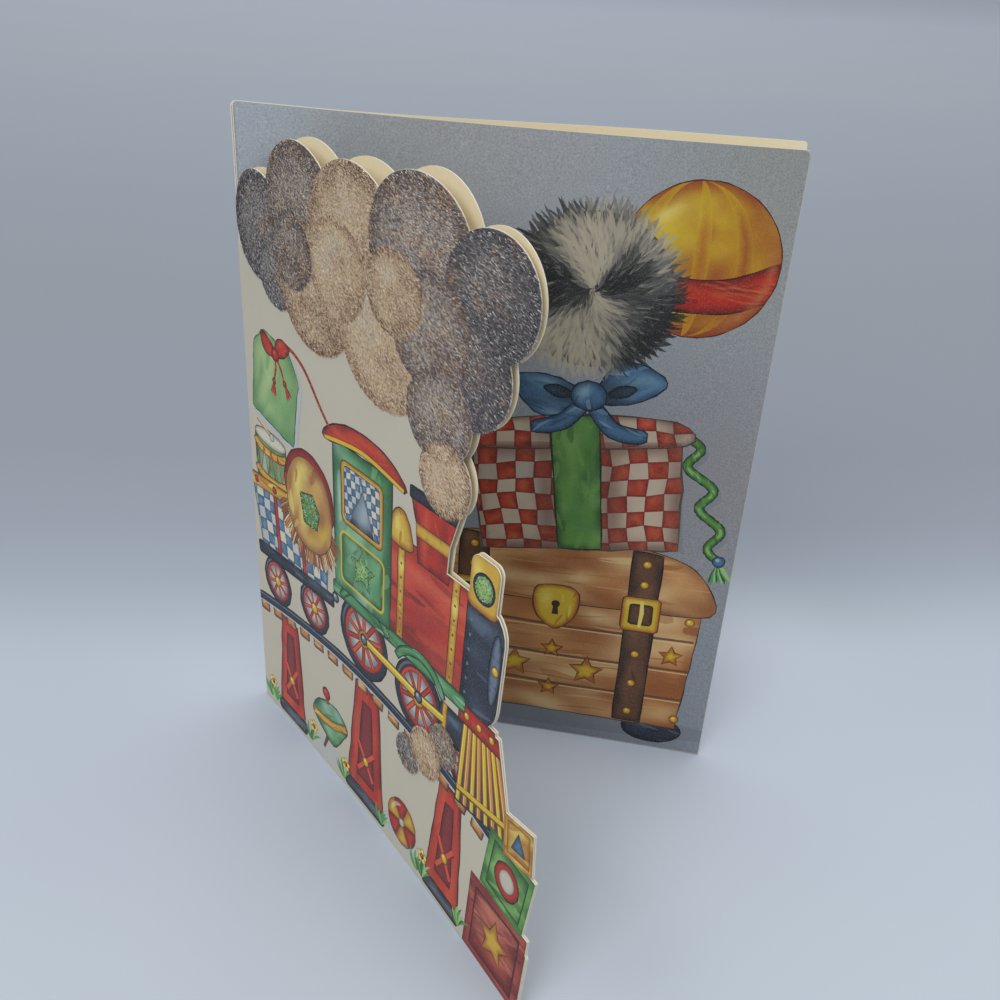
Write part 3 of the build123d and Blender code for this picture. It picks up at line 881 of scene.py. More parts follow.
def engine(art):
    """The wheels, the rods, the slatted guard, the boiler and the cab."""
    for x, r, n in ((60, 11.5, 10), (86, 10.5, 10), (107.5, 7, 8), (13, 7.6, 8), (34, 7.6, 8)):
        wheel(art, x, r, n)
    art.shape(slab(95.5, 53.5, 110.5, 62.5, 1.4), IRON, 0.35, rim=1.6, spots=[(103, 60, 9, 1.1, 0, NAVY_LIT, 0.9)])
    for x in (97.4, 108.4):
        art.shape(slab(x - 0.9, 53.2, x + 0.9, 62.8, 0.5), BRASS, 0.25, rim=0.5)
    rod = [(60, 58.2), (73, 57.6), (86, 56.9), (97, 57.8)]
    art.stroke(rod, 3.0, (84, 60, 34), 0.9)
    bar = art.stroke(rod, 2.1, YELLOW, 0.9)
    art.stroke([(x, y + 0.45) for x, y in rod], 0.6, YELLOW_LIT, 0.6, bar)
    art.stud(60, 58.2, 1.6, TIN)
    art.stud(86, 56.9, 1.6, TIN)
    guard = art.shape(evened([(104.6, 67.5), (119.4, 67.5), (129.2, 42.4), (104.6, 38.8)], 6), ((70, 62, 56),
            NAVY_DEEP), 0)
    for k in range(8):
        t = k / 7
        a, b = (106 + 11.8 * t, 65), (105.8 + 21.2 * t, 39.6 + 3.0 * t)
        slat = [a, ((a[0] + b[0]) / 2, (a[1] + b[1]) / 2), b]
        art.stroke(slat, 2.1, TAN_DEEP, 0.9, guard)
        art.stroke(slat, 1.4, (YELLOW, TAN)[k % 2], 0.9, guard)
        art.stroke([(a[0] - 0.35, a[1]), (b[0] - 0.35, b[1])], 0.4, YELLOW_LIT, 0.6, guard)
    art.stroke([(105, 43.2), (116, 45), (128, 47.2)], 2.2, (112, 74, 44), 0.9, guard)
    art.stroke([(105, 43.4), (116, 45.2), (128, 47.4)], 1.4, YELLOW, 0.9, guard)
    art.shape(evened(slab(66, 68.6, 112, 98.4), 5), SCARLET, 0.45, rim=3.2, spots=[(88, 91, 40, 2.4, 0,
            (210, 108, 80), 0.8), (88, 73, 40, 4.2, 0, RED_DEEP, 0.7), (84, 84, 20, 3, 0, (190, 70, 54), 0.5)],
            dabs=(66, (13, 1.7), 0, [RED_LIT, RED_DEEP, (190, 70, 54), (150, 48, 46), (206, 92, 68)], 0.5, 0.1, 7))
    for x in (76.5, 98):
        hoop = art.shape(evened(slab(x - 1.3, 68.4, x + 1.3, 98.5, 0.6), 4), BRASS, 0.3, rim=0.7,
                spots=[(x, 90.5, 2, 2.2, 0, YELLOW_LIT, 0.9), (x, 73, 2, 3, 0, YELLOW_DEEP, 0.8)])
        for y in range(71, 96, 4):
            art.lay(disc(x, y, 0.42, count=8), (120, 72, 38), hoop, kind=None)
    art.shape(slab(102.5, 66.2, 117.6, 98.6, 7.4, (0, 1, 1, 0)), IRON, 0.3, rim=3, spots=[(109, 91.5, 6, 2, 0,
            NAVY_LIT, 0.9), (108, 84, 6, 3, 0, (62, 71, 89), 0.6)], dabs=(18, (7, 1.4), 0, [NAVY_LIT, NAVY_DEEP,
            (62, 71, 90)], 0.5, 0.1, 9))
    for y in range(71, 97, 4):
        art.lay(disc(104.2, y, 0.45, count=8), NAVY_LIT, kind=None)
    art.shape(disc(114.0, 83, 1.9, 9.4, 0, 24), (NAVY_LIT, NAVY), 0.35, rim=0.9)
    art.stud(114.2, 83, 1.2)
    art.shape(slab(103, 62.6, 121, 67.6, 0.8), SCARLET, 0.35, rim=1.1, dabs=(8, (7, 1.0), 0, [RED_LIT, RED_DEEP]))
    for x in (106, 111, 116):
        art.stud(x, 65.1, 1.0)
    dome = curve([(71.4, 96), (71.6, 101), (74.5, 105.2), (77.8, 105), (80.2, 100.5), (80.4, 96)])
    art.shape(dome, BRASS, 0.35, rim=1.8, spots=[(74.6, 101, 1.2, 3, 0, YELLOW_LIT, 0.95)], dabs=(6, (4, 0.8), 85,
            [YELLOW_LIT, YELLOW_DEEP]))
    stack = evened([(83, 94.8), (95, 94.8), (95.6, 104), (98.6, 112.6), (79.7, 112.6), (82.4, 104)], 4)
    art.shape(stack, SCARLET, 0.4, rim=2.2, spots=[(85.6, 103, 1.3, 9, 0, RED_LIT, 0.9), (92.6, 102, 1.4, 9, 0,
            RED_DEEP, 0.8)], dabs=(12, (7, 1.1), 88, [RED_LIT, RED_DEEP, RED], 0.5))
    art.shape([(82.1, 101.6), (95.5, 101.6), (95.9, 105), (81.8, 105)], BRASS, 0.3, rim=0.8)
    art.shape(slab(79.3, 110.6, 98.8, 113.8, 0.6), IRON, 0.2, rim=1.0, dabs=(5, (5, 0.6), 0, [NAVY_LIT]))
    art.shape(slab(101.8, 94.6, 113.2, 108.8, 2.6), BRASS, 0.3, rim=1.6, spots=[(105, 104, 1.6, 2.5, 30, YELLOW_LIT,
            0.9)])
    art.shape(disc(107.5, 100.6, 3.9, count=20), IRON, 0.1, rim=0.7)
    art.shape(disc(107.5, 100.6, 3.1, count=18), (LEAF_LIT, GREEN), 0.1, rim=1.2, kind="glitter")
    art.shape(slab(44.8, 65.2, 105, 69.2, 0.8), PAINT, 0.35, rim=1.0, dabs=(18, (8, 0.8), 0, [MINT, GREEN_LIT,
            GREEN_DEEP]))
    for x, r in ((60, 13.2), (86, 12.2)):
        y = rail_height(x) + r
        art.shape(band(disc(x, y, r, count=20, start=32, end=148), 2.3, 0.9), PAINT, 0.3, rim=0.8, dabs=(8, (5, 0.6),
                (x, y, 90), [MINT, GREEN_LIT]))
    art.shape(evened(slab(46, 68.8, 72, 111.5), 5), PAINT, 0.45, rim=3.0, spots=[(49.5, 92, 2, 18, 0, MINT, 0.85),
            (69, 90, 2, 20, 0, GREEN_DEEP, 0.7), (60, 73, 10, 2.4, 0, GREEN_LIT, 0.6)], dabs=(60, (9, 1.9), 84,
            [GREEN_LIT, MINT, GREEN_DEEP, (78, 130, 92), (112, 164, 118)], 0.5, 0.1, 14))
    art.lay(slab(48.6, 71.0, 69.4, 87.0, 2.2), YELLOW, cover=0.95)
    panel = art.lay(slab(49.3, 71.7, 68.7, 86.3, 1.8), (86, 140, 96), None, GREEN_DEEP, 2.0)
    art.dabs(panel, 20, (7, 1.6), 70, [GREEN_LIT, MINT, GREEN_DEEP], 0.5)
    art.shape(star(59, 79, 6.0), (LEAF_LIT, GREEN), 0.5, rim=1.2, kind="glitter")
    art.shape(slab(49.6, 89.6, 68.4, 107.6, 2), BRASS, 0.3, rim=0.8)
    pane = art.shape(slab(51, 91, 67, 106.2, 1.2), ((96, 112, 124), NAVY_DEEP), 0.2, rim=3, spots=[(60, 96, 3, 6, -20,
            PALE, 0.8)])
    for loop, x0 in (([(51, 106.2), (51, 91.5), (53.2, 91), (55, 95), (58.6, 101), (59.4, 106.2)], 48),
            ([(67, 106.2), (67, 91.5), (64.8, 91), (63, 95), (60, 101), (59.2, 106.2)], 57)):
        drape = art.shape(curve(loop, True, 3), (WHITE, (150, 158, 164)), 0.3, pane, rim=1.2)
        art.check(drape, x0, 88, 7, 12, 2.0, 8, SKY, [PALE], 0.25, 0.08)
    roof = curve([(42, 110.4), (45, 114.6), (52, 117.2), (59.5, 118), (67, 117.2), (74, 114.6), (77, 110.4),
            (59.5, 112.8)])
    art.shape(roof, SCARLET, 0.45, rim=2.0, spots=[(56, 116, 9, 1.2, 4, RED_LIT, 0.9)], dabs=(16, (9, 1.1), 0,
            [RED_LIT, RED_DEEP, RED], 0.55))
    art.stroke(curve([(42.2, 110.6), (59.5, 113.0), (76.8, 110.6)], False, 8), 1.1, YELLOW, 0.8)


def playthings(art):
    """Toy blocks at the free corner, a spinning top, a ball and some grass."""
    for x, y, size, turn in BLOCKS:
        tones = {24: (BRICK, BRICK_DEEP, BRICK_LIT), 18: (LEAF, LEAF_DEEP, LEAF_LIT), 11: BRASS}[size]
        outer = block(x, y, size + 0.5, turn)
        face = art.shape(evened(outer, 4), tones, 0.0, rim=1.6, dabs=(int(size * 2.6), (size * 0.45, 1.4), turn + 2,
                [tones[2], tones[1], tones[0]], 0.5, 0.1, 6))
        if size == 24:
            for k in (-1, 1):
                seam = turned([(-11, k * 4), (0, k * 4 + 0.3), (11, k * 4)], x, y, turn)
                art.stroke(seam, 0.7, BRICK_DEEP, 0.6, face)
        art.lay(block(x, y, size * 0.8, turn), tuple(c * 0.75 for c in tones[1]), face)
        well = art.lay(block(x, y, size * 0.75, turn), tones[0], face, tones[1], size * 0.12,
                [(x - size * 0.15, y + size * 0.15, size * 0.25, size * 0.18, 30, tones[2], 0.7)])
        art.dabs(well, int(size * 1.4), (size * 0.35, 1.3), turn + 8, [tones[2], tones[1]], 0.5)
        if size == 24:
            art.shape(star(x, y - 0.4, 6.6, 90 + turn), BRASS, 0.4, rim=1.3)
        elif size == 18:
            art.shape(disc(x, y, 4.8, count=24), SCARLET, 0.35, rim=1.0)
            art.shape(disc(x, y, 2.9, count=18), (CREAM, GREY), 0.2, rim=0.8)
        else:
            art.shape(turned([(-2.6, -2.2), (2.6, -2.2), (0, 2.8)], x, y, turn), SKY, 0.3, rim=0.7)
    art.stroke([(38.2, 5.2), (40.2, 10), (41.2, 13)], 1.6, BROWN, 0.7)
    body = curve([(-10, 1), (-6.5, 5.4), (0, 6.8), (6.5, 5.4), (10, 1), (6, -3.4), (0, -7.6), (-6, -3.4)])
    art.shape(turned(body, 42, 17, 14), PAINT, 0.4, rim=2.8, spots=[(38, 20, 2.6, 2.0, 30, MINT, 1.0),
            (46, 13, 3, 1.6, 40, GREEN_LIT, 0.7)], dabs=(22, (6, 1.2), 14, [GREEN_LIT, MINT, GREEN_DEEP], 0.55))
    sash = turned(band([(-9.6, 1.2), (-4, -0.2), (2, -0.4), (9.6, 1.2)], 2.6, 0.9), 42, 17, 14)
    art.shape(sash, BRASS, 0.3, rim=0.8, dabs=(6, (5, 0.7), 14, [YELLOW_LIT, TAN_DEEP]))
    knob = turned([(0, 9.6)], 42, 17, 14)[0]
    art.stroke([turned([(0, 6)], 42, 17, 14)[0], knob], 2.0, TAN_DEEP, 0.9)
    art.stud(knob[0], knob[1], 1.9, SCARLET)
    art.lay(disc(83, 4.8, 9, 1.6, 0, 20), PALE)
    for k in range(6):
        wedge = [(82, 11.4)] + disc(82, 11.4, 7.2, count=6, start=60 * k + 10, end=60 * k + 70)
        art.shape(wedge, (BRASS, SCARLET)[k % 2], 0.25, rim=1.6)
    art.stroke(disc(82, 11.4, 5.4, count=10, start=100, end=170), 1.2, WHITE, 0.1, None, 0.7, None)
    art.stud(82, 11.4, 1.2, IVORY)
    for x in (5, 8.5, 31, 50.5, 72, 91, 94, 112):
        for k in range(9):
            lean = 90 + (k - 4) * 11 + art.dice.gauss(0, 4)
            size = 6.5 * art.dice.uniform(0.7, 1.15)
            c, s = heading(lean)
            tone = art.dice.choice((LEAF, LEAF_DEEP, LEAF_LIT, GREEN))
            art.lay(lens(x + c * size / 2, 2.0 + s * size / 2, size, 0.95, lean, 0.12), tone)
    for x, y in ((6.5, 9), (32, 8.5), (93, 9), (51, 8)):
        for k in range(5):
            a = math.radians(72 * k + 18)
            art.shape(disc(x + 1.25 * math.cos(a), y + 1.25 * math.sin(a), 1.05, 0.8, 72 * k + 18, 10), (YELLOW_LIT,
                    YELLOW), 0.15, rim=0.4)
        art.stud(x, y, 0.7, (RED, RED_DEEP, YELLOW))


def front_picture():
    art = Art(5)
    bridge(art)
    engine(art)
    tag(art)
    wagon(art)
    playthings(art)
    steam(art)
    return art


# The picture inside: a toy chest with a parcel, a ball and a ball of wool on silver grey

SILVER = (150, 155, 161)


def chest(art):
    """A wooden chest with two straps, a lock and stars."""
    art.lay(disc(92, 7.5, 54, 4.6, 0, 40), (112, 118, 126), cover=0.6)
    for x in (57, 124):
        art.shape(disc(x, 7.5, 9, 5, 0, 26), IRON, 0.4, rim=1.8, spots=[(x - 2, 9.6, 4, 1.2, 8, NAVY_LIT, 0.9)],
                dabs=(8, (5, 0.9), 4, [NAVY_LIT, NAVY_DEEP]))
    body = art.hand(evened([(50, 9), (131, 9), (133.5, 52), (47.5, 52)], 5))
    body = art.shape(body, (TAN, TAN_DEEP), 0.35, rim=4.5, spots=[(70, 32, 9, 14, 0, TAN_LIT, 0.75), (106, 30, 10, 15,
            0, TAN_LIT, 0.7), (90, 14, 40, 4, 0, TAN_DEEP, 0.6)], dabs=(110, (16, 3.4), 2, [TAN_LIT, TAN_DEEP,
            (200, 152, 98), (156, 96, 52), TAN_LIT], 0.6, 0.1, 9, 0.92))
    art.dabs(body, 70, (17, 0.5), 2, [TAN_DEEP, (150, 92, 52), (206, 168, 116)], 0.5, 0.04, 3)
    for y in (20, 31, 42):
        art.stroke([(48.5, y), (70, y + 0.5), (95, y - 0.4), (132.5, y + 0.2)], 1.0, BROWN, 0.8, body, 0.85)
        art.stroke([(48.5, y - 0.9), (90, y - 1.1), (132.5, y - 0.8)], 0.5, TAN_LIT, 0.8, body, 0.8, None)
    lid = curve([(45.5, 52), (46.5, 62), (54, 69), (70, 72.4), (91, 73.4), (112, 72.2), (127, 68.6), (134.5, 61),
            (135.5, 52), (112, 50.6), (90, 50.2), (68, 50.6)])
    lid = art.shape(lid, ((194, 144, 90), (122, 74, 46)), 0.35, rim=4.0, spots=[(76, 66, 18, 3, 4, TAN_LIT, 0.85),
            (112, 64, 10, 3, -6, TAN_LIT, 0.7), (90, 54, 40, 2.4, 0, TAN_DEEP, 0.7)], dabs=(60, (15, 2.8), 0,
            [TAN_LIT, TAN_DEEP, (204, 156, 100), (156, 96, 52)], 0.6, 0.1, 9, 0.92))
    art.dabs(lid, 46, (17, 0.5), 0, [TAN_DEEP, (150, 92, 52), (206, 168, 116)], 0.5, 0.04, 3)
    w = 4.2
    for x in (66, 116):
        art.shape(evened([(x - w, 9.4), (x + w, 9.4), (x + w, 70.4), (x - w, 71.2)], 5), HIDE, 0.4, rim=1.8,
                spots=[(x - 1.2, 40, 1.2, 24, 0, (136, 98, 72), 0.7)], dabs=(26, (8, 1.1), 90, [(130, 92, 68),
                BROWN_DEEP, BROWN], 0.55))
        for y in (13, 24, 35, 60, 67):
            art.stud(x, y, 1.2)
        art.shape(slab(x - 5.4, 43.6, x + 5.4, 55.4, 1.4), GOLD, 0.4, rim=1.2, spots=[(x - 2, 53, 3, 1.4, 0,
                YELLOW_LIT, 0.9)])
        art.shape(slab(x - 3.3, 46, x + 3.3, 53, 0.8), HIDE, 0.25, rim=1)
        art.stroke([(x, 45), (x + 0.3, 50), (x, 54.4)], 1.3, YELLOW_LIT, 0.7)
    lock = curve([(85.5, 55), (96.5, 55), (96.8, 46), (91, 40.6), (85.2, 46)], True, 5)
    art.shape(lock, GOLD, 0.45, rim=1.5, spots=[(88, 51, 1.6, 3, 0, YELLOW_LIT, 0.9)], dabs=(6, (4, 0.8), 80,
            [YELLOW_LIT, YELLOW_DEEP]))
    art.lay(disc(91, 49.4, 1.3, count=12), BROWN_DEEP)
    art.lay([(90.4, 49.2), (91.6, 49.2), (92, 45.6), (90, 45.6)], BROWN_DEEP)
    for x, y, r in ((80, 26, 5.2), (102, 26, 5.2), (91, 32.8, 3.2), (55.5, 36, 3.6), (126.5, 36, 3.6), (91, 18, 3.2)):
        art.shape(star(x, y, r), GOLD, 0.45, rim=1.0)
    for x in (50.5, 130.5):
        for y in (12.5, 49):
            art.stud(x, y, 1.3)


def parcel(art):
    """A parcel in checked paper with a green tape and a blue bow, a little askew."""
    def on(points):
        return turned([(x - 94, y - 90) for x, y in points], 94, 88.5, 7)
    art.lay(grown(on(slab(66, 72, 122, 106)), 1.6), (110, 116, 124), cover=0.5)
    face = art.shape(art.hand(on(evened([(66, 71), (121.5, 71), (122.5, 105), (65.5, 105)], 5))), ((194, 176, 154),
            (146, 128, 112)), 0.5, rim=3.0, spots=[(80, 94, 8, 9, 0, WHITE, 0.7)])
    weave = (182, 58, 36), (110, 34, 28), (206, 108, 74)
    art.check(face, *on([(62, 68)])[0], 12, 8, 5.1, 7, weave, [(174, 160, 146), (190, 166, 148), (166, 156, 146)],
            0.6)
    top = on(curve([(64.5, 104), (94, 103.2), (123.5, 104), (121, 110.5), (94, 113), (67, 110.5)]))
    top = art.shape(top, ((192, 174, 152), (132, 110, 96)), 0.45, rim=1.6)
    art.check(top, *on([(62, 103)])[0], 13, 3, 4.9, 7, weave, [(182, 170, 154)], 0.6)
    dusk = (94, 60, 54)
    folds = (((85.5, 88), 3.2, 20, 0.5), ((103, 86), 3.4, 20, 0.5), ((94, 71), 34, 3.4, 0.45), ((121, 86), 3.4, 20,
            0.4), ((80, 103), 20, 2.4, 0.45), ((112, 103), 14, 2.4, 0.45))
    art.glaze(face, [(*on([at])[0], rx, ry, 7, dusk, amount) for at, rx, ry, amount in folds])
    art.glaze(top, [(*on([(x, 108)])[0], 4, 4, 0, dusk, 0.4) for x in (86, 102, 121)])
    art.shape(on(evened([(88, 71), (100, 71), (100.6, 112.6), (87.6, 112.6)], 5)), ((88, 138, 64), (50, 86, 46)),
            0.45, rim=2.2, spots=[(92, 96, 2.2, 12, 6, (122, 162, 88), 0.75)], dabs=(60, (7, 1.6), 96,
            [(128, 168, 96), (50, 86, 46), (76, 122, 64), (102, 148, 72)], 0.5, 0.1, 12))
    for x, y, turn, size in ((84, 118.5, 168, 19), (105.5, 120, 20, 19)):
        loop = art.shape(curve(lens(x, y, size, 11.5, turn, 0.12), True, 3), SKY, 0.45, rim=2.2,
                spots=[(x, y + 1.6, 4.2, 1.4, turn, BLUE_LIT, 0.9)], dabs=(14, (8, 1.2), turn, [BLUE_LIT, BLUE_DEEP,
                (96, 136, 166)], 0.55))
        art.shape(curve(lens(x + (2.4 if turn > 90 else -2.4), y - 0.6, size * 0.42, 3.4, turn), True, 3),
                (BLUE_DEEP, NAVY_DEEP), 0.2, rim=0.9)
        art.glaze(loop, [(x + (5 if turn > 90 else -5), y - 1, 4, 3.4, turn, NAVY_DEEP, 0.6),
                (x + (-3 if turn > 90 else 3), y - 4, 6, 1.6, turn, BLUE_DEEP, 0.6)])
    for path in ([(94, 116), (88, 109), (80, 106.5)], [(95, 116), (102, 108), (111, 107)]):
        art.shape(band(curve(path, False, 5), 4.4, 0.55), SKY, 0.4, rim=1.3, dabs=(7, (6, 1.0),
                30 if path[1][0] < 94 else -30, [BLUE_LIT, BLUE_DEEP]))
    art.shape(disc(94.6, 117.4, 4.6, 4.0, 0, 22), SKY, 0.45, rim=1.6, spots=[(93.4, 118.6, 1.8, 1.2, 20, BLUE_LIT,
            0.95)], dabs=(5, (4, 0.8), 80, [BLUE_LIT, BLUE_DEEP]))


def ball(art):
    """A yellow ball with a red belt."""
    x, y, r = 118, 156, 19.5
    lit, warm, rust = (206, 180, 60), (160, 94, 34), (138, 60, 30)
    whole = art.shape(disc(x, y, r, count=60), ((190, 152, 28), rust), 0.3, rim=5.0)
    for shift, tone in ((-0.62, warm), (0.12, (166, 98, 32)), (0.66, (148, 74, 32))):
        edge = [(x + r * (shift + half) * math.cos(t) - 2, y + r * math.sin(t)) for half,
                ends in ((-0.1, (-1.57, 1.57)), (0.1, (1.57, -1.57))) for t in np.linspace(*ends, 20)]
        art.lay(edge[:-1], tone, whole, (188, 148, 30), 1.9, cover=0.75, kind=None)
    art.dabs(whole, 60, (8, 2.4), (x - 30, y + 2, 90), [lit, (198, 164, 36), warm, rust], 0.5, swing=24, soft_share=1)
    art.glaze(whole, [(x + 12, y - 11, 12, 9, -40, rust, 0.6), (x - 5, y + 11, 9, 5, 24, lit, 0.6), (x - 9, y + 11, 5,
            1.6, 34, (226, 208, 130), 0.7), (x - 13, y + 4, 3.4, 1.1, 62, (222, 200, 112), 0.5), (x + 14, y + 8, 6, 7,
            0, (150, 80, 34), 0.4)])
    sash = curve([(x - 21, y - 4), (x - 8, y - 8.4), (x + 8, y - 8.2), (x + 21, y - 2.6)], False, 6)
    art.shape(band(sash, 8.4, 0.95), ((168, 40, 26), (104, 28, 26)), 0.35, whole, rim=2.2,
            spots=[(x - 6, y - 6, 6, 1.2, -6, (200, 84, 52), 0.9), (x + 9, y - 7.4, 7, 0.9, 6, (196, 96, 52), 0.7)],
            dabs=(30, (9, 0.8), -3, [(200, 84, 52), (108, 30, 26), (196, 96, 52), (130, 32, 26)], 0.55, 0.1, 7))
    gleam = (206, 150, 88)
    art.glaze(whole, [(x + r * 0.9 * math.cos(t), y + r * 0.9 * math.sin(t), 3, 1.0, math.degrees(t) + 90, gleam,
            0.45) for t in (-0.9, -0.6, -0.3, 0)])


def wool(art):
    """A ball of soft wool in black, grey and cream: shaded as a whole, then strand by strand from its rim."""
    x, y, r = 93, 146, 22.0
    looks = np.array([(178, 168, 146), (160, 152, 134), (104, 102, 96), (54, 55, 56), (32, 33, 35)], float)

    def strand(a, out, size, width, cover):
        wave = 0.48 + 0.52 * math.sin(a * 2 + 0.6 + out * 1.8) + 0.25 * math.sin(a * 3 - out * 4 + 1)
        wave += 0.18 * (out > 0.86)
        dark = min(max(wave + art.dice.gauss(0, 0.13), 0), 1) * (len(looks) - 1)
        low = min(int(dark), len(looks) - 2)
        tone = looks[low] + (looks[low + 1] - looks[low]) * (dark - low)
        lean = math.degrees(a) + art.dice.gauss(12, 11)
        art.lay(lens(x + r * out * math.cos(a), y + r * out * math.sin(a), size * art.dice.uniform(0.7, 1.25),
                width * art.dice.uniform(0.7, 1.3), lean, art.dice.uniform(-0.1, 0.1)), tuple(tone), cover=cover)
    art.lay(disc(x, y, r * 0.93, count=44), (120, 116, 106), None, (70, 70, 70), 4)
    for out, count in ((0.97, 130), (0.9, 124), (0.83, 118), (0.75, 108), (0.66, 98), (0.57, 88), (0.48, 76),
            (0.39, 64), (0.3, 50), (0.21, 36), (0.12, 22), (0.04, 8)):
        for k in range(count):
            strand(2 * math.pi * (k + art.dice.random()) / count, out + art.dice.gauss(0, 0.02), 6.0, 1.0, 0.72)
    for k in range(260):
        strand(art.dice.uniform(0, 2 * math.pi), art.dice.uniform(0.08, 1.0), 4.6, 0.4, 0.8)


def ribbons(art):
    """A curled green ribbon that ends in a tassel."""
    path = [(120 + 15 * t ** 0.7 + 2.9 * math.sin(19 * t) * (1 - 0.25 * t), 109 - 38 * t) for t in np.linspace(0, 1,
            90)]
    leaf = (86, 138, 60), (48, 84, 46)
    art.lay(band([(x + 1.3, y - 1.2) for x, y in path], 2.3, 0.8), (118, 124, 132), cover=0.6)
    curl = art.shape(band(path, 2.3, 0.85), leaf, 0.3, rim=0.9)
    for k in range(8, 84, 14):
        art.stroke(path[k:k + 8], 1.0, (134, 174, 102), 0.2, curl, 0.8, None)
    art.dabs(curl, 30, (3.4, 0.6), -70, [(134, 174, 102), leaf[1], GREEN])
    art.tassel(135.5, 70.5, 7.5, -80, (GREEN, GREEN_DEEP, LEAF_LIT), 9, 26)
    art.stud(135.5, 71, 1.7, SKY)


def backdrop(art):
    """The silver ground with painted light and shade: lighter near the head of the page, darker towards its foot and
    its free edge.
    """
    art.lay(slab(-5, -5, 145, 190), SILVER, None, None, 1.0, [(20, 185, 45, 40, 0, (163, 170, 178), 1.0),
            (62, 188, 45, 36, 0, (173, 174, 177), 1.0), (138, 175, 30, 40, 0, (150, 150, 144), 0.9), (70, 0, 90, 46,
            0, (128, 134, 145), 1.0), (130, 60, 40, 50, 0, (138, 142, 148), 0.8), (134, 98, 26, 34, 0,
            (141, 138, 139), 0.85)], 1.0, None)


def page_picture():
    art = Art(11)
    backdrop(art)
    ball(art)
    ribbons(art)
    chest(art)
    parcel(art)
    wool(art)
    return art


# Pieces

moved = np.zeros(3)


def put(name, data):
    """A new object in the scene."""
    made = bpy.data.objects.new(name, data)
    bpy.context.scene.collection.objects.link(made)
    return made


def piece(name, points, faces, materials, slot, which=None, tones=None, flat=None):
    """An object of the card: points in millimetres, faces, and what they wear."""
    mesh = bpy.data.meshes.new(name)
    mesh.from_pydata(((np.asarray(points) + moved) * 0.001).tolist(), [], [list(map(int, f)) for f in faces])
    for m in materials:
        mesh.materials.append(m)
    if which is not None:
        mesh.polygons.foreach_set("material_index", np.asarray(which, np.int32))
    if tones is not None:
        layer = mesh.color_attributes.new("ink", "FLOAT_COLOR", "CORNER")
        rgba = np.ones((len(mesh.loops), 4), np.float32)
        rgba[:, :3] = np.asarray(tones).reshape(-1, 3)
        layer.data.foreach_set("color", rgba.ravel())
    if flat is not None:
        layer = mesh.uv_layers.new(name="OFBake")
        index = np.zeros(len(mesh.loops), np.int32)
        mesh.loops.foreach_get("vertex_index", index)
        layer.data.foreach_set("uv", np.asarray(flat, np.float32)[index].ravel())
    mesh.polygons.foreach_set("use_smooth", np.ones(len(mesh.polygons), bool))
    mesh.update()
    made = put(name, mesh)
    made["slot"] = slot
    return made


def dress(made, square, bare=None):
    """Sets the directions that the corners of a piece face: all but those of its bare faces."""
    mesh = made.data
    index = np.zeros(len(mesh.loops), np.int32)
    mesh.loops.foreach_get("vertex_index", index)
    corners = np.asarray(square)[index]
    if bare is not None:
        for face in mesh.polygons:
            if face.material_index == bare:
                corners[face.loop_start:face.loop_start + face.loop_total] = 0
    mesh.normals_split_custom_set(corners.tolist())


def grid(x0, x1, y0, y1, step, seed, loose=0.25):
    """Scattered points about a step apart."""
    dice = np.random.default_rng(seed)
    xs, ys = np.meshgrid(np.arange(x0, x1, step), np.arange(y0, y1, step * 0.87))
    xs = xs + (np.arange(xs.shape[0]) % 2)[:, None] * step / 2
    points = np.stack([xs.ravel(), ys.ravel()], -1)
    return points + dice.uniform(-loose, loose, points.shape) * step


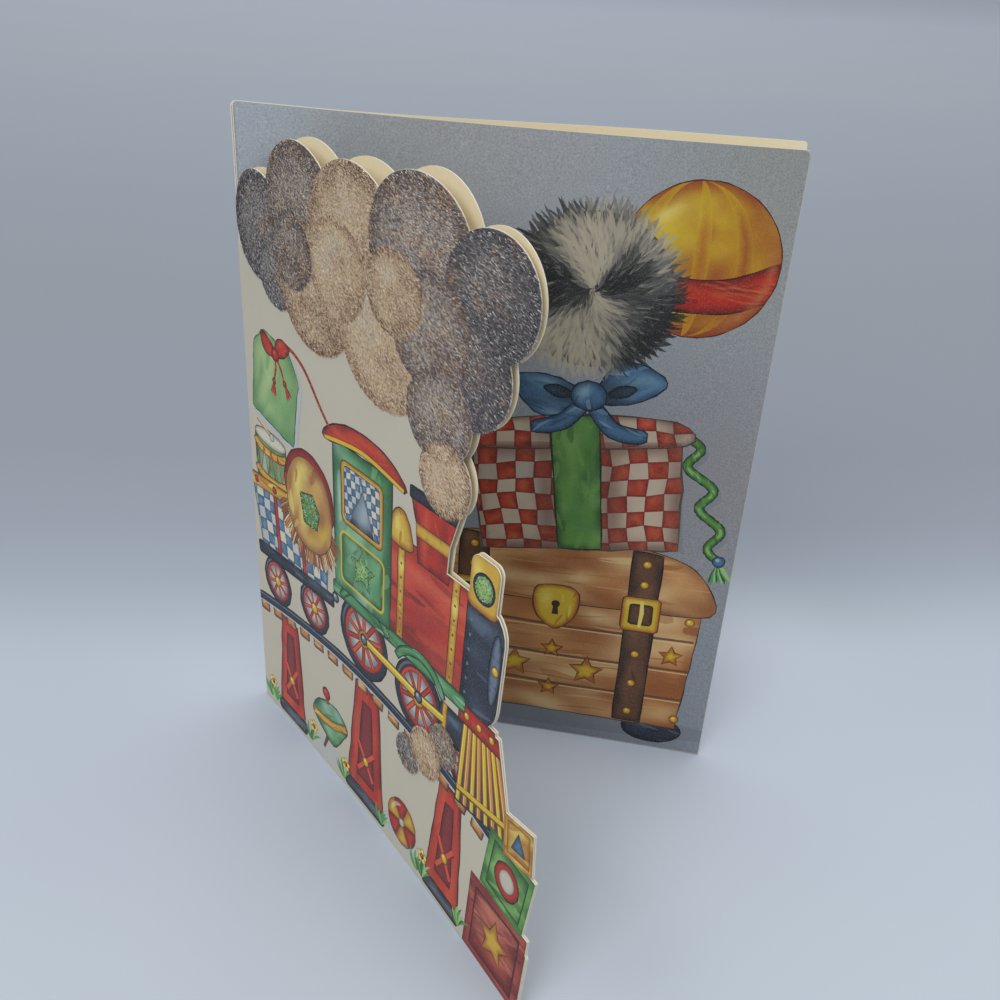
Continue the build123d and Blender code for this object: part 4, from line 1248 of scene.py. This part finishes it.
def sheet():
    """The folded sheet: both layers of both leaves, the fold along the foot and the cut edges."""
    page = slab(0, FOLD, WIDE, TOP, 0.8, (0, 0, 1, 0))
    page[-1:] = disc(1.5, TOP - 1.5, 1.5, count=6, start=90, end=180)
    front = [[(-u, v) for u, v in part][::-1] for part in die_parts(8.0)]
    columns = [side * x for x in BEND_COLUMNS for side in (-1, 1)]
    extra = grid(-WIDE + 1, WIDE - 1, 1.5, HIGH - 1, 3.0, 3)
    extra = extra[np.abs(extra[:, 0]) > max(BEND_COLUMNS) + 0.5]
    loops = [evened(loop, 3.0) for loop in [page] + front]
    kept = np.zeros(len(extra), bool)
    for loop in loops:
        kept |= inside_loop(extra, loop) & (edge_distance(extra, loop) > 0.05)
    flat, tris, _ = partition(loops, extra[kept], columns)
    run, climb = flat[:, 0], flat[:, 1]
    count = len(flat)
    layers = [place(run, -climb, THICK / 2), place(run, -climb, -THICK / 2), place(run, climb, THICK / 2),
            place(run, climb, -THICK / 2)]
    points = [p for layer in layers for p in layer]
    square = [way for climb_at, side in ((-climb, 1), (-climb, -1), (climb, 1), (climb, -1)) for way in facing(run,
            climb_at) * side]
    faces = [tuple(t) for t in tris] + [tuple(t[::-1] + count) for t in tris]
    faces += [tuple(t[::-1] + 2 * count) for t in tris] + [tuple(t + 3 * count) for t in tris]
    which = ([0] * len(tris) + [2] * len(tris)) * 2
    seen = {}
    for t in tris:
        for a, b in ((t[0], t[1]), (t[1], t[2]), (t[2], t[0])):
            seen[(a, b)] = (b, a) not in seen
            if (b, a) in seen:
                seen[(a, b)] = seen[(b, a)] = False
    low = np.abs(climb - FOLD) < 1e-6
    for (a, b), rim in seen.items():
        if rim and not (low[a] and low[b]):
            faces.append((b, a, a + count, b + count))
            faces.append((a + 2 * count, b + 2 * count, b + 3 * count, a + 3 * count))
            which += [1, 1]
    foot = sorted(np.flatnonzero(low), key=lambda i: run[i])
    turns = np.linspace(-FOLD, FOLD, 9)
    arcs = []
    for side, (first, last) in ((THICK / 2, (0, 2 * count)), (-THICK / 2, (count, 3 * count))):
        rows = [[i + first for i in foot]]
        for climb_at in turns[1:-1]:
            rows.append(list(range(len(points), len(points) + len(foot))))
            points += list(place(run[foot], climb_at, side))
            square += list(facing(run[foot], climb_at) * np.sign(side))
        rows.append([i + last for i in foot])
        arcs.append(rows)
        for r0, r1 in zip(rows, rows[1:]):
            for k in range(len(foot) - 1):
                faces.append((r0[k], r0[k + 1], r1[k + 1], r1[k]))
                which.append(2 if side < 0 else 0)
    for k in (0, -1):
        for j in range(len(turns) - 1):
            faces.append((arcs[0][j][k], arcs[0][j + 1][k], arcs[1][j + 1][k], arcs[1][j][k]))
            which.append(1)
    return np.array(points), faces, which, np.array(square)


def skin(name, found, kinds, across, climbing, proud, material, slot):
    """Printed fields of some kinds as a piece that lies on a leaf: across is the sign of its run."""
    flat, tris, tones, marks = found
    chosen = np.isin(marks, kinds)
    used, faces = np.unique(tris[chosen], return_inverse=True)
    at = flat[used]
    points = place(at[:, 0] * across, at[:, 1] * climbing, proud)
    made = piece(name, points, faces.reshape(-1, 3), [material], slot, tones=tones[chosen], flat=at / 190)
    dress(made, facing(at[:, 0] * across, at[:, 1] * climbing))
    return made


def strewn(name, bed, sizes, lay, looks, slot):
    """What geometry nodes lay over a bed, as a plain piece: each of its parts wears one of a few looks."""
    group = bpy.data.node_groups.new(name, "GeometryNodeTree")
    for label in ("Bed", *sizes):
        kind = "NodeSocketGeometry" if label == "Bed" else "NodeSocketFloat"
        group.interface.new_socket(label, in_out="INPUT", socket_type=kind)
    group.interface.new_socket("Strewn", in_out="OUTPUT", socket_type="NodeSocketGeometry")
    g = Tree(group)
    entry = group.nodes.new("NodeGroupInput")
    made = lay(g, {label: Wire(g, entry.outputs[label]) for label in ("Bed", *sizes)})
    made = g.node("GeometryNodeRealizeInstances", {}, {"Geometry": made})
    look = g.node("GeometryNodeInputNamedAttribute", {"data_type": "FLOAT"}, {"Name": "look"}, "Attribute")
    for k, material in enumerate(looks):
        made = g.node("GeometryNodeSetMaterial", {}, {"Geometry": made, "Selection": look > k - 0.5,
                "Material": material})
    group.links.new(made.socket, group.nodes.new("NodeGroupOutput").inputs["Strewn"])
    modifier = bed.modifiers.new(name, "NODES")
    modifier.node_group = group
    for item in group.interface.items_tree:
        if item.in_out == "INPUT" and item.name in sizes:
            modifier[item.identifier] = float(sizes[item.name])
    ready = bpy.context.evaluated_depsgraph_get()
    mesh = bpy.data.meshes.new_from_object(bed.evaluated_get(ready), preserve_all_data_layers=True, depsgraph=ready)
    bed.modifiers.remove(modifier)
    if mesh.materials[0] is None:
        mesh.materials.pop(index=0)
    made = put(name, mesh)
    made["slot"] = slot
    return made


def chance(g, low, high, seed):
    """A random number for each point."""
    return g.node("FunctionNodeRandomValue", {"data_type": "FLOAT"}, {"Min": low, "Max": high, "Seed": seed})


def vector(g, operation, a, b):
    return g.node("ShaderNodeVectorMath", {"operation": operation}, {0: a, 1: b}, "Vector")


def scaled(g, a, share):
    return g.node("ShaderNodeVectorMath", {"operation": "SCALE"}, {0: a, "Scale": share})


def scattered(g, given):
    """Random points on the bed."""
    return g.node("GeometryNodeDistributePointsOnFaces", {"distribute_method": "RANDOM"}, {"Mesh": given["Bed"],
            "Density": given["Density"], "Seed": given["Seed"]})


def set_on(g, points, look, shape, turn, size):
    """A shape on each point, with the number of its look."""
    points = g.node("GeometryNodeStoreNamedAttribute", {"data_type": "FLOAT", "domain": "POINT"}, {"Geometry": points,
            "Name": "look", "Value": look})
    return g.node("GeometryNodeInstanceOnPoints", {}, {"Points": points, "Instance": shape, "Rotation": turn,
            "Scale": size})


def fibres(g, given):
    """Slanting flock fibres: needles in the tones of the bed below them."""
    points = scattered(g, given)
    away = g.beside(points, "Normal")
    side = vector(g, "CROSS_PRODUCT", (0, 0, 1), away)
    slant = given["Slant"] + chance(g, -0.2, 0.2, 1) + chance(g, -0.2, 0.2, 2)
    along = vector(g, "ADD", scaled(g, side, g.maths("COSINE", slant)), scaled(g, g.node("ShaderNodeCombineXYZ", {},
            {"Z": 1.0}), g.maths("SINE", slant)))
    along = vector(g, "ADD", along, scaled(g, away, chance(g, 0.1, 0.5, 3)))
    turn = g.node("FunctionNodeAlignRotationToVector", {"axis": "Z"}, {"Vector": along})
    needle = g.node("GeometryNodeMeshCone", {"fill_type": "NGON"}, {"Vertices": 3, "Radius Top": 0.0,
            "Radius Bottom": given["Width"], "Depth": given["Length"]}, "Mesh")
    ink = g.node("GeometryNodeInputNamedAttribute", {"data_type": "FLOAT_COLOR"}, {"Name": "ink"}, "Attribute")
    red = g.node("FunctionNodeSeparateColor", {}, {"Color": ink}, "Red")
    green, blue = g.beside(red, "Green"), g.beside(red, "Blue")
    light = g.maths("POWER", red * 0.3 + green * 0.6 + blue * 0.1, 0.45)
    light = light + chance(g, -0.3, 0.22, 4)
    warm = ((red - blue) / (green + 0.01) + chance(g, -0.32, 0.32, 5)) > 0.24
    look = ((light > 0.40) + (light > 0.56)) * 2 + warm
    # A few fibres take the near-white look, as painted glints.
    look = look + (chance(g, 0, 1, 6) > 0.94) * (6 - look)
    size = g.node("ShaderNodeCombineXYZ", {}, {"X": chance(g, 0.7, 1.3, 7), "Y": chance(g, 0.7, 1.3, 8),
            "Z": chance(g, 0.7, 1.25, 9)})
    return set_on(g, points, look, needle, turn, size)


def flecks(g, given):
    """Six-sided glitter flakes that lie a little askew."""
    points = scattered(g, given)
    askew = g.node("FunctionNodeRandomValue", {"data_type": "FLOAT_VECTOR"}, {"Min": (-0.5, -0.5, -3), "Max": (0.5,
            0.5, 3), "Seed": 3})
    turn = g.node("FunctionNodeRotateRotation", {"rotation_space": "LOCAL"}, {"Rotation": g.beside(points,
            "Rotation"), "Rotate By": askew})
    flake = g.node("GeometryNodeMeshCylinder", {"fill_type": "NGON"}, {"Vertices": 6, "Radius": given["Width"],
            "Depth": given["Length"]}, "Mesh")
    return set_on(g, points, chance(g, 0, 1, 5) * 4 - 0.5, flake, turn, chance(g, 0.6, 1.2, 6))


# The card itself, moved so that its box is the CAD node's
points, faces, which, square = sheet()
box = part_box("card")
own = (points.max(0) + points.min(0)) / 2
moved[:2] = [(box[0][k] + box[1][k]) * 500 - own[k] for k in (0, 1)]
card_sheet = piece("card_sheet", points, faces, [card_face, cut_edge, card_inside_painted_light], "card_stock", which)
shell = bmesh.new()
shell.from_mesh(card_sheet.data)
bmesh.ops.recalc_face_normals(shell, faces=shell.faces)
shell.to_mesh(card_sheet.data)
shell.free()
card_sheet.data.set_sharp_from_angle(angle=math.radians(40))
dress(card_sheet, square, 1)

# The prints, cut to the leaves, and the flock and the glitter on them, in millimetres
MARGIN = 0.12   # bare card between a print and the cut edge
CLEAR = THICK / 2 + 0.04   # the print's height over the middle of the sheet
GLUE = CLEAR + 0.03
MESH = 1.7   # about the longest side of a print's triangles
FRONT, PAGE = (-1, 1), (1, -1)   # which way runs and climbs go on each leaf
front_print = front_picture().print_on([grown(part, -MARGIN) for part in die_parts(0.0)], MESH, 21, CREAM)
page_part = slab(0.1, FOLD + 0.15, WIDE - MARGIN, TOP - MARGIN, 1.4, (0, 0, 1, 1))
page_print = page_picture().print_on([page_part], MESH, 22, SILVER, "ground")
skin("front_picture", front_print, ["ink", "glitter"], *FRONT, CLEAR, printed_ink, "printed_colour")
skin("page_picture", page_print, ["ink"], *PAGE, CLEAR, printed_ink, "printed_colour")
skin("page_ground", page_print, ["ground"], *PAGE, CLEAR, silver_ink, "page_grey")
bed = skin("flock_bed", front_print, ["flock"], *FRONT, CLEAR, flock_bed, "flock")
glued = skin("glitter_bed", front_print, ["glitter"], *FRONT, GLUE, printed_ink, "glitter")

# Fibres and flakes a square metre, and their sizes in metres
FIBRE = {"Density": 8.5e6, "Width": 0.00008, "Length": 0.0012, "Slant": math.radians(-8)}
FLAKE = {"Density": 4.5e6, "Width": 0.00022, "Length": 0.00003}
for seed, name in ((1, "flock_fibres_a"), (2, "flock_fibres_b")):
    strewn(name, bed, {"Seed": seed, **FIBRE}, fibres, flock_looks, "flock")
strewn("glitter_flecks", glued, {"Seed": 3, **FLAKE}, flecks, glitter_looks, "glitter")
bpy.data.objects.remove(glued)

# Camera, where the photograph's perspective puts it
PHOTO, SENSOR, FOCAL = 1000, 36, 1094.52   # pixels, millimetres, pixels
STAND = np.array([106.50, -266.97, 234.40])   # millimetres from the spine's foot
azimuth, dip, roll = math.radians(-7.246), math.radians(29.503), math.radians(3.539)
ahead = Vector((math.sin(azimuth) * math.cos(dip), math.cos(azimuth) * math.cos(dip), -math.sin(dip)))
right = Vector((math.cos(azimuth), -math.sin(azimuth), 0))
up = right.cross(ahead)
right, up = right * math.cos(roll) + up * math.sin(roll), up * math.cos(roll) - right * math.sin(roll)
lens_data = bpy.data.cameras.new("camera")
lens_data.sensor_width, lens_data.lens = SENSOR, FOCAL / PHOTO * SENSOR
lens_data.clip_start, lens_data.clip_end = 0.01, 50
camera = put("camera", lens_data)
axes = Matrix((right, up, -ahead)).transposed().to_4x4()
camera.matrix_world = Matrix.Translation((STAND + moved) * 0.001) @ axes
bpy.context.scene.camera = camera

# A plain floor. Its tone goes with the depth behind the card in metres, as the backdrop's does in the photograph:
# painted light and shade of a lit backdrop sweep, darkest a little way behind the card. It is lifted a little round
# a few spots with painted light, and darkened at one with a painted shadow.
NEAR, FAR = -0.3, 2.4
FLOOR_STOPS = [((y - NEAR) / (FAR - NEAR), full(tone)) for y, tone in ((-0.3, (186, 195, 206)),
        (-0.04, (184, 193, 204)), (0.03, (180, 188, 201)), (0.084, (176, 184, 196)), (0.10, (170, 179, 190)),
        (0.133, (156, 165, 177)), (0.17, (148, 155, 167)), (0.24, (143, 150, 161)), (0.46, (146, 152, 162)),
        (0.72, (152, 160, 171)), (1.21, (170, 178, 189)), (1.55, (183, 190, 201)), (2.1, (200, 207, 220)),
        (2.4, (208, 215, 229)))]
# Soft spots round the card's foot, each a place, a spread and a gain: painted light where the gain is positive,
# painted shadow where it is negative.
FLOOR_PAINTED_LIGHT_AND_SHADOW = (((0.012, 0.036, 0), 0.037, 0.38), ((-0.076, 0.042, 0), 0.042, 0.12), ((0.083, 0.119, 0), 0.034, 0.2),
        ((0.052, -0.032, 0), 0.02, -0.08), ((-0.06, -0.02, 0), 0.045, 0.06))
floor_mesh = bpy.data.meshes.new("floor")
floor_mesh.from_pydata([(-4, -4, 0), (4, -4, 0), (4, 4, 0), (-4, 4, 0)], [], [(0, 1, 2, 3)])
floor = put("floor", floor_mesh)


def floor_look(t, where):
    across = t.node("ShaderNodeSeparateXYZ", {}, {"Vector": where}, "X")
    depth = t.beside(across, "Y") - across * 0.25
    share = t.node("ShaderNodeMapRange", {}, {"Value": depth, "From Min": NEAR, "From Max": FAR})
    tone = t.node("ShaderNodeValToRGB", {"stops": FLOOR_STOPS}, {"Fac": share}, "Color")
    soft = t.noise(where, 6, 2)
    mottle_and_painted_light = 0.985 + soft * 0.03
    for spot, spread, gain in FLOOR_PAINTED_LIGHT_AND_SHADOW:
        near = t.node("ShaderNodeVectorMath", {"operation": "DISTANCE"}, {0: where, 1: spot}, "Value") * (1 / spread)
        mottle_and_painted_light = mottle_and_painted_light + t.maths("EXPONENT", near * near * -1.0) * gain
    return {"Base_Color": t.shaded(tone, mottle_and_painted_light)}


floor_mesh.materials.append(finish("floor_paper", floor_look, Roughness=0.9, Specular_IOR_Level=0.1))

# Light: a pale room, a broad lamp overhead and one from the front
world = bpy.data.worlds.new("world")
bpy.context.scene.world = world
world.use_nodes = True
world.node_tree.nodes["Background"].inputs["Color"].default_value = (0.93, 0.965, 1.0, 1)
world.node_tree.nodes["Background"].inputs["Strength"].default_value = 0.42


def lamp(name, spot, aim, size, watts, tone):
    data = bpy.data.lights.new(name, "AREA")
    data.shape, data.size, data.energy, data.color = "SQUARE", size, watts, tone
    made = put(name, data)
    made.location = spot
    made.rotation_euler = (Vector(aim) - Vector(spot)).to_track_quat("-Z", "Y").to_euler()


lamp("tent_top", (0.35, 0.12, 2.2), (0, 0, 0), 2.2, 30.0, (1.0, 0.985, 0.96))
lamp("tent_front", (-1.0, -2.2, 1.9), (0, 0, 0.08), 1.6, 42.0, (0.97, 0.99, 1.0))

bpy.context.scene.view_settings.view_transform = "Standard"

for made in [o for o in bpy.context.scene.objects if "slot" in o]:
    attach(made, "root")
    del made["slot"]
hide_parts("card")
